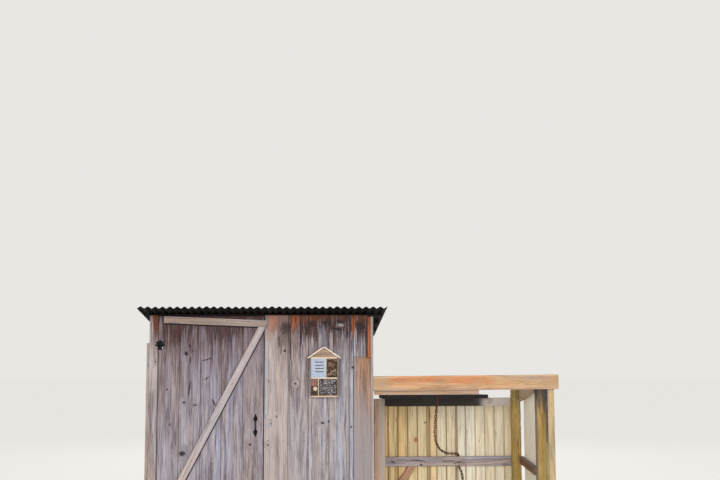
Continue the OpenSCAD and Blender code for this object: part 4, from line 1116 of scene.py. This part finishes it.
class OUTHOUSE_OT_ironwork(Operator):
    """Hinges, latch, keeper, screws and nails"""

    bl_idname = "outhouse.ironwork"
    bl_label = "Ironwork"

    def execute(self, context):
        sizes = context.scene.outhouse_sizes
        colours = context.scene.outhouse_colours
        iron = metal("black_iron", colours.iron, shade(colours.rust, 0.4), 0.05, 0.0, 0.8, 0.25)
        dress(iron, "hinge_door_plates", "hinge_frame_plates", "latch_handle")
        dress(metal("keeper_steel", "A3A0A2", "6A5C58", 0.25, 0.2, 0.6), "latch_keeper")

        front = (0, -1, 0)
        leaf_x0, leaf_x1, leaf_y = edges("door_leaf")[0:3]
        hinge_x = leaf_x0 - 0.004
        plating = metal("screw_plating", "E2E2E4", colours.rust, 0.05, 0.0, 0.6)
        screw = turned([(0.0055, -0.002), (0.0055, 0.0006), (0.0045, 0.0018), (0.002, 0.0022)], 10)
        for body, dx, y in (("door", 0.041, leaf_y), ("house", -0.012, FRONT_Y)):
            places = [(hinge_x + dx, y - 0.003, z - 0.024) for z in HINGE_HEIGHTS]
            set_out(body + "_hinge_screws", places, [front] * 2, screw, plating, body, 0.95, 1.05, 7)

        proud = 0.0006
        start = edges("front_wall_right")[0]
        house = []
        for left, right in ((start, 0.265), (0.267, 0.461), (0.464, 0.658), (0.660, 0.855), (0.897, 1.030)):
            house += [(left + (right - left) * f, FRONT_Y + proud, z) for z in (0.13, 1.0, 2.05) for f in (0.2, 0.8)]
        house += [(-1.022, FRONT_Y + proud, z) for z in (0.16, 1.0, 1.95)]
        door = []
        width = (leaf_x1 - leaf_x0) / DOOR_BOARDS
        ledge_left, ledge_right, ledge_y, _, low, high = edges("door_ledges")
        a, b, c, d = (Vector(p) for p in brace_corners())
        for i in range(DOOR_BOARDS):
            for f, side in ((0.25, 0.014), (0.75, -0.014)):
                x = leaf_x0 + width * (i + f)
                door.append((x, ledge_y + proud, low + LEDGE / 2 + side))
                if x > ledge_left + 0.05:
                    fall = DROP * (x - ledge_left) / (ledge_right - ledge_left)
                    door.append((x, ledge_y + proud, high - LEDGE / 2 + side - fall))
            t = (i + 0.5) / DOOR_BOARDS
            door.append(tuple((a + b) / 2 * (1 - t) + (c + d) / 2 * t + Vector((0, proud, 0))))
        r = sizes.nail
        head = turned([(r, -0.002), (r, proud), (r * 0.8, 0.0016), (r * 0.3, 0.002)], 10)
        steel = metal("nail_steel", "7E7674", colours.rust, 0.3, 0.2, 0.8)
        for body, places, seed in (("house", house, 5), ("door", door, 6)):
            set_out(body + "_nails", places, [front] * len(places), head, steel, body, 0.85, 1.15, seed)
        return {"FINISHED"}


class OUTHOUSE_OT_insect_house(Operator):
    """Insect house with its canes, twigs, block and white panel"""

    bl_idname = "outhouse.insect_house"
    bl_label = "Insect house"

    def execute(self, context):
        sizes = context.scene.outhouse_sizes
        colours = context.scene.outhouse_colours
        x0, x1, y0, y1, z0, ridge = edges("insect_house_box")
        deep = y1 - y0
        side = 0.012
        divider = 0.008
        eaves = z0 + 0.376
        shelf = z0 + 0.172
        split_low = x0 + side + 0.066
        split_high = x0 + side + 0.138
        boards = Boards(41, ease=0.0015, relief=0.0004)
        boards.front(x0, x0 + side, z0, eaves, y0, deep)
        boards.front(x1 - side, x1, z0, eaves, y0, deep)
        boards.level(x0 + side, x1 - side, z0, z0 + side, y0 - 0.004, deep + 0.004, tone=0.4)
        boards.level(x0 + side, x1 - side, shelf, shelf + side, y0, deep)
        boards.level(x0 + side, x1 - side, eaves - side, eaves, y0, deep)
        boards.front(split_low, split_low + divider, z0 + side, shelf, y0, deep)
        boards.front(split_high, split_high + divider, shelf + side, eaves - side, y0, deep)
        boards.front(x0 + side, x1 - side, z0 + side, eaves - side, y1 - 0.006, 0.006)

        def box_finish(tree, place, colour, colours):
            x, _, z = tree.parts(place)
            sides = x.ramp(x0 + side, x0 + side + 0.001, 1.0, 0.0) + x.ramp(x1 - side - 0.001, x1 - side)
            colour = tree.mix(sides * 0.95, colour, "7D685E")
            return tree.mix(z.ramp(z0 + side, z0 + side + 0.002, 0.6, 0.0), colour, "CBA27C")

        boards.finish(
            "insect_house_boards",
            wood("pine", colours.pine, 0.6, knots=(), seam_share=0.25, hue=0.4, finish=box_finish),
            "house", "bug_wood", "insect_house_box")

        middle = (x0 + x1) / 2
        half = (x1 - x0) / 2
        rise = ridge - eaves
        roof = edges("insect_house_roof")
        over = (roof[1] - roof[0]) / 2 - half
        low = eaves - rise * over / half
        thick = 0.0105
        lean = math.atan2(rise, half)
        cover = Boards(44, ease=0.0015, relief=0.0003)
        for s in (-1, 1):
            ends = [(middle + s * (half + over), low + 0.0002), (middle, ridge + 0.0002)]
            (ax, az), (bx, bz) = ends if s < 0 else reversed(ends)
            up = Vector((s * math.sin(lean), 0, math.cos(lean))) * thick
            corners = [(ax, roof[2], az), (bx, roof[2], bz), (bx, roof[3], bz), (ax, roof[3], az)]
            cover.add(*[tuple(Vector(p) + up) for p in corners], thick, tone=0.0)
        cover.finish("insect_house_cover", wood("pale_pine", "F4E5D8", 0.5, knots=(), seam_share=0.1, hue=0.3),
                     "house", "bug_wood", "insect_house_roof")
        gable = bpy.data.meshes.new("gable")
        outline = [(x0 + 0.004, eaves), (x1 - 0.004, eaves), (middle, ridge - 0.002)]
        gable.from_pydata(
            [(x, y, z) for y in (y0 + 0.006, y1) for x, z in outline], [],
            [(0, 1, 2), (5, 4, 3), (0, 3, 4, 1), (1, 4, 5, 2), (2, 5, 3, 0)])
        finished("insect_house_gable", gable, wood("gable_wood", "9C8572", 0.8, grain="x", knots=(), hue=0.4),
                 "house")

        material, tree = new_material("white_paint")
        place = tree.object_place()
        cloud = tree.noise(place, (30, 30, 12), 3.0)
        brush = tree.noise(place, (300, 300, 14), 2.0)
        paint = tree.mix(cloud.ramp(0.3, 0.7), shade(colours.white, 0.9, 0.93, 1.0), shade(colours.white, 1.1))
        tree.surface(paint, 0.6, brush, 0.0004)
        dress(material, "insect_house_panel")

        # A drilled block lies over a log and thin stems; its holes are dark discs of painted shade
        left, right, near, far, low_z, high_z = edges("insect_house_block")
        block_foot = z0 + 0.1015
        log_x, log_z, log_r = x0 + side + 0.040, z0 + side + 0.066, 0.0225
        material, tree = new_material("block_and_log")
        place = tree.object_place()
        distance = spots(tree, place, [(log_x, log_z, log_r, log_r)])
        end = tree.mix((distance * 38.0).math("SINE").ramp(-1, 1) * 0.4, "D9C3AC", "9C7E66")
        end = tree.mix(distance.ramp(0.82, 0.95), end, "5A463C")
        end = tree.mix(distance.ramp(1.02, 1.05), end, "4A3C38")
        cloud = tree.noise(place, (60, 60, 18), 4.0)
        block = tree.mix(cloud.ramp(0.3, 0.7), "6F4C43", "977264")
        # Holes as dark discs: painted shade, not cut
        cell = tree.vector("FRACTION", tree.vector("MULTIPLY", place, (1 / 0.022, 0, 1 / 0.028)))
        off = tree.vector("MULTIPLY", tree.vector("SUBTRACT", cell, (0.5, 0, 0.5)), (1, 0, 1))
        block = tree.mix(tree.vector("LENGTH", off, out=1).ramp(0.15, 0.2, 0.9, 0.0), block, "2A1C18")
        above = tree.parts(place)[2].ramp(block_foot - 0.001, block_foot + 0.0005)
        tree.surface(tree.mix(above, end, block), 0.85, cloud, 0.0006)
        pile = Boards(42, ease=0.001, relief=0.0002)
        pile.front(left, right, block_foot, high_z, near, far - near)
        stack = bmesh.new()
        stack.from_mesh(pile.mesh())
        rounds = [(log_x, log_z, log_r), (left + 0.0105, log_z + 0.008, 0.0095), (left + 0.0105, log_z - 0.014, 0.0095)]
        rounds += [(left + 0.011 + 0.0215 * i, low_z + 0.0105, 0.0100) for i in range(3)]
        rounds += [(left + 0.021 + 0.0215 * i, low_z + 0.0285, 0.0090) for i in range(2)]
        for stem_x, stem_z, r in rounds:
            stem = turned([(r * 0.9, 0.0), (r, 0.004), (r, far - near - 0.003), (r * 0.93, far - near - 0.0015)], 20)
            stem.transform(Matrix.Translation((stem_x, far, stem_z)) @ Matrix.Rotation(math.pi / 2, 4, "X"))
            stack.from_mesh(stem)
        mesh = bpy.data.meshes.new("pile")
        stack.to_mesh(mesh)
        stack.free()
        finished("insect_house_log", mesh, material, "house", ["insect_house_block"])

        def stems(name, node, space, radius, bore, seed, material, rough_bark):
            """Close rows of stems that fill a space, given as left, right, bottom and top."""
            left, right, bottom, top = space
            random = np.random.default_rng(seed)
            points, ways = [], []
            step = radius * 1.9
            for row in range(int((top - bottom - radius) / (step * 0.9)) + 1):
                shift = (row % 2) * step / 2
                for column in range(int((right - left - 2 * radius - shift) / step) + 1):
                    x = left + radius + shift + column * step + random.normal(0, radius * 0.08)
                    z = bottom + radius + row * step * 0.92 + random.normal(0, radius * 0.08)
                    if z + radius > top + 0.001:
                        continue
                    points.append((min(x, right - radius), y1 - 0.006, z))
                    ways.append((random.normal(0, 0.012), -1, random.normal(0, 0.012)))
            long = deep - 0.014
            profile = [(radius, 0.0), (radius * 1.02, long * 0.5), (radius, long - 0.001), (radius * 0.94, long),
                       (bore, long - 0.0005), (bore * 0.9, long - 0.02), (bore * 0.5, long - 0.022)]
            shape = turned(profile, 12, seed=seed, wobble=rough_bark)
            set_out(name, points, ways, shape, material, "house", 0.72, 1.0, seed, [node])

        def stem_material(name, speck_size, roughness, patch, tones, speck_range, speck_tone, rough, depth):
            """Specks over two tones that change from stem to stem."""
            material, tree = new_material(name)
            place = tree.object_place()
            speck = tree.noise(place, speck_size, *roughness)
            pick = tree.noise(place, patch, 1.0)
            tone = tree.mix(pick.ramp(0.35, 0.65), *tones)
            tree.surface(tree.mix(speck.ramp(*speck_range), tone, speck_tone), rough, speck, depth)
            return material

        cane = stem_material("cut_cane", (70, 30, 70), (3.0,), (45, 2, 45), ("553E33", "D4B498"), (0.4, 0.7), "6E5140",
                             0.85, 0.0008)
        stems("insect_house_stems", "insect_house_canes", (split_high + divider, x1 - side, shelf + side, eaves - side),
              sizes.cane, sizes.cane * 0.55, 51, cane, 0.0006)
        bark = stem_material("grey_bark", (160, 60, 160), (4.0, 0.7), (40, 2, 40), ("565155", "C0BABF"), (0.45, 0.6),
                             "39322F", 0.9, 0.003)
        stems("insect_house_cones", "insect_house_twigs", (split_low + divider, x1 - side, z0 + side, shelf),
              sizes.twig, sizes.twig * 0.18, 52, bark, 0.004)
        return {"FINISHED"}


class OUTHOUSE_OT_lean_to(Operator):
    """Header, posts, rails, brace and roof planks of the lean-to"""

    bl_idname = "outhouse.lean_to"
    bl_label = "Lean-to timber"

    def execute(self, context):
        colours = context.scene.outhouse_colours
        rise = 0.012
        x0, x1, y0, y1, z0, z1 = edges("bay_header")
        beam = Boards(61)
        beam.add((x0, y0, z1 - rise), (x0, y0, z0), (x1, y0, z0 + rise), (x1, y0, z1), y1 - y0, tone=-0.2)
        x0, x1, y0, y1, z0, z1 = edges("bay_ledger")
        beam.level(x0, x1, z0, z1, y0, y1 - y0, tone=-0.6)
        beam.finish("header_beam", wood("header_wood", colours.header, 0.9, hue=0.7, finish=header_finish),
                    "house", "header_wood", "bay_header", "bay_ledger")

        upright("front_post_timber", "bay_front_post", 62, 0.1,
                wood("front_post_wood", colours.post, 1.1, finish=front_post_finish), "post_wood")
        upright("corner_trim_timber", "bay_corner_trim", 63, 0.1, wood("trim_wood", "BBA37A", 0.9), "pale_wood")
        x0, x1, y0, y1, z0, z1 = edges("bay_round_post")
        radius = (x1 - x0) / 2
        rows = 60
        profile = [(radius - 0.003, z0), *[(radius, z0 + 0.004 + (z1 - z0 - 0.01) * i / rows) for i in range(rows + 1)],
                   (radius - 0.004, z1)]
        finished("round_post_timber", turned(profile, 40, ((x0 + x1) / 2, (y0 + y1) / 2), 64, 0.006),
                 wood("round_post_wood", "AA9259", 1.2, grain="z", finish=round_post_finish),
                 "house", ["bay_round_post"])
        upright("left_post_timber", "bay_left_post", 66, -0.4,
                wood("left_post_wood", "CDAE98", 0.9, knots=(), hue=0.6, finish=left_post_finish), "bay_rail_wood")

        # The lower rail is notched behind, round the chain
        rails = Boards(65)
        x0, x1, y0, y1, z0, z1 = edges("bay_back_rails")
        high, notch, face = 0.097, 2.037, 0.011
        rails.level(x0, x1, z1 - 0.086, z1, y0, y1 - y0, tone=0.0)
        rails.level(x0, x1, z0, z0 + high, y0, face, tone=0.3)
        rails.level(x0, notch - 0.030, z0, z0 + high, y0 + 0.010, y1 - y0 - 0.010, tone=0.3)
        rails.level(notch + 0.036, x1, z0, z0 + high, y0 + 0.010, y1 - y0 - 0.010, tone=0.3)
        rails.finish("back_rail_timber", wood("rail_wood", colours.rail, 1.1, finish=rail_finish),
                     "house", "bay_rail_wood", "bay_back_rails")

        side = Boards(67)
        x0, x1, y0, y1, z0, z1 = edges("bay_side_rails")
        fall = SIDE_FALL * (y1 - y0)
        lift = 0.06 * (y1 - y0)
        thick = x1 - x0
        side.add((x0, y0, z1 - 0.140), (x0, y0, z1), (x0, y1, z1 - fall), (x0, y1, z1 - 0.140 - fall), thick, tone=-0.5)
        side.add((x0, y0, z0), (x0, y0, z0 + 0.080), (x0, y1, z0 + 0.080 + lift), (x0, y1, z0 + lift), thick, tone=-0.3)
        side.finish("side_rail_timber", wood("side_rail_wood", "7A6048", 1.1, finish=side_rail_finish),
                    "house", "bay_rail_wood", "bay_side_rails")

        brace = Boards(68)
        co = np.array([v.co for v in NODES["bay_knee_brace"].data.vertices])
        x0, x1, y0, y1, z0, z1 = edges("bay_knee_brace")
        on_post = co[co[:, 0] < x0 + 0.001]
        on_rail = co[co[:, 2] > z1 - 0.001]
        brace.add((x0, y0, on_post[:, 2].max()), (x0, y0, z0), (x1, y0, z1), (on_rail[:, 0].min(), y0, z1),
                  y1 - y0, tone=-0.4)
        brace.finish("knee_brace_timber", wood("knee_wood", "BB9880", 1.0, knots=()),
                     "house", "bay_rail_wood", "bay_knee_brace")

        planks = Boards(69)
        x0, x1, y0, y1, z0, z1 = edges("bay_roof_planks")
        thick, wide, step = 0.038, 0.160, 0.166
        front_low = edges("bay_ledger")[4] - thick
        nail_x = (edges("chain_nail")[0] + edges("chain_nail")[1]) / 2
        spans = [(nail_x - 0.031 - wide - i * step, wide) for i in range(3)]
        spans += [(nail_x + 0.031 + i * step, wide if i < 2 else 0.120) for i in range(3)]
        for x, width in spans:
            planks.add((x + width, y0, front_low), (x, y0, front_low), (x, y1, z0), (x + width, y1, z0), thick)
        # Near-black planks and seams: painted shade on the lean-to's roof planks
        planks.finish("roof_plank_timber", wood("plank_wood_painted_shade", colours.planks, 0.8, seam=(0.006, 0.005, 0.005)),
                      "house", "dark_planks", "bay_roof_planks")
        return {"FINISHED"}


class OUTHOUSE_OT_lean_to_boards(Operator):
    """Close boards on the back and the side of the lean-to"""

    bl_idname = "outhouse.lean_to_boards"
    bl_label = "Lean-to boards"

    def execute(self, context):
        colours = context.scene.outhouse_colours
        boards = Boards(71, ease=0.003)
        lap = 0.004
        x0, x1, y0, y1, z0, z1 = edges("bay_back_boards")
        first, step = 0.050, 0.102
        starts = [x0, *[x0 + first + i * step for i in range(int((x1 - x0 - first) / step) + 1)], x1 + SEAM]
        for i, (x, after) in enumerate(zip(starts, starts[1:])):
            boards.front(x, after - SEAM, z0, z1 - (i % 3) * 0.004, y0, y1 - y0)
            if i:
                boards.front(x - SEAM - lap, x + lap, z0, z1 - 0.01, y0 + 0.008, 0.005, tone=-1.0)
        x0, x1, y0, y1, z0, z1 = edges("bay_side_boards")
        strip_x = x0 + 0.008
        for i, (a, b) in enumerate(shares(y0, y1, 6)):
            top_a, top_b = z1 - SIDE_FALL * (a - y0), z1 - SIDE_FALL * (b - y0)
            boards.add((x0, b, z0), (x0, a, z0), (x0, a, top_a), (x0, b, top_b), x1 - x0, tone=0.8)
            if i:
                near, far = a - SEAM - lap, a + lap
                boards.add((strip_x, far, z0), (strip_x, near, z0), (strip_x, near, top_b), (strip_x, far, top_b),
                           0.005, tone=0.0)
        boards.finish(
            "lean_to_boards",
            wood("pale_wood", colours.pale, 0.6, knots=(), seam=colours.seam, seam_reach=0.012, seam_share=0.75,
                 hue=0.35, finish=lean_to_finish),
            "house", "pale_wood", "bay_back_boards", "bay_side_boards")
        return {"FINISHED"}


class OUTHOUSE_OT_chain(Operator):
    """Rusty chain on its nail"""

    bl_idname = "outhouse.chain"
    bl_label = "Chain"

    def execute(self, context):
        colours = context.scene.outhouse_colours
        dress(metal("chain_rust", "3A2622", colours.rust, 0.9, 0.4, 0.7), "bay_chain", "chain_nail")
        return {"FINISHED"}


class OUTHOUSE_PT_panel(Panel):
    """Settings and pieces of the outhouse"""

    bl_label = "Outhouse"
    bl_idname = "OUTHOUSE_PT_panel"
    bl_space_type = "VIEW_3D"
    bl_region_type = "UI"
    bl_category = "Outhouse"

    def draw(self, context):
        for group in (context.scene.outhouse_sizes, context.scene.outhouse_colours, context.scene.outhouse_stage):
            column = self.layout.column()
            for name in group.__annotations__:
                column.prop(group, name)
        for operator in OPERATORS:
            self.layout.operator(operator.bl_idname)


OPERATORS = (
    OUTHOUSE_OT_stage, OUTHOUSE_OT_front_wall, OUTHOUSE_OT_door, OUTHOUSE_OT_side_walls, OUTHOUSE_OT_frame_timber,
    OUTHOUSE_OT_roof, OUTHOUSE_OT_ironwork, OUTHOUSE_OT_insect_house, OUTHOUSE_OT_lean_to,
    OUTHOUSE_OT_lean_to_boards, OUTHOUSE_OT_chain,
)
CLASSES = (OuthouseSizes, OuthouseColours, OuthouseStage, *OPERATORS, OUTHOUSE_PT_panel)


def register():
    for item in CLASSES:
        bpy.utils.register_class(item)
    bpy.types.Scene.outhouse_sizes = PointerProperty(type=OuthouseSizes)
    bpy.types.Scene.outhouse_colours = PointerProperty(type=OuthouseColours)
    bpy.types.Scene.outhouse_stage = PointerProperty(type=OuthouseStage)


def unregister():
    del bpy.types.Scene.outhouse_sizes
    del bpy.types.Scene.outhouse_colours
    del bpy.types.Scene.outhouse_stage
    for item in reversed(CLASSES):
        bpy.utils.unregister_class(item)


def main():
    register()
    for operator in OPERATORS:
        getattr(bpy.ops.outhouse, operator.bl_idname.split(".")[1])()


if __name__ == "__main__":
    main()
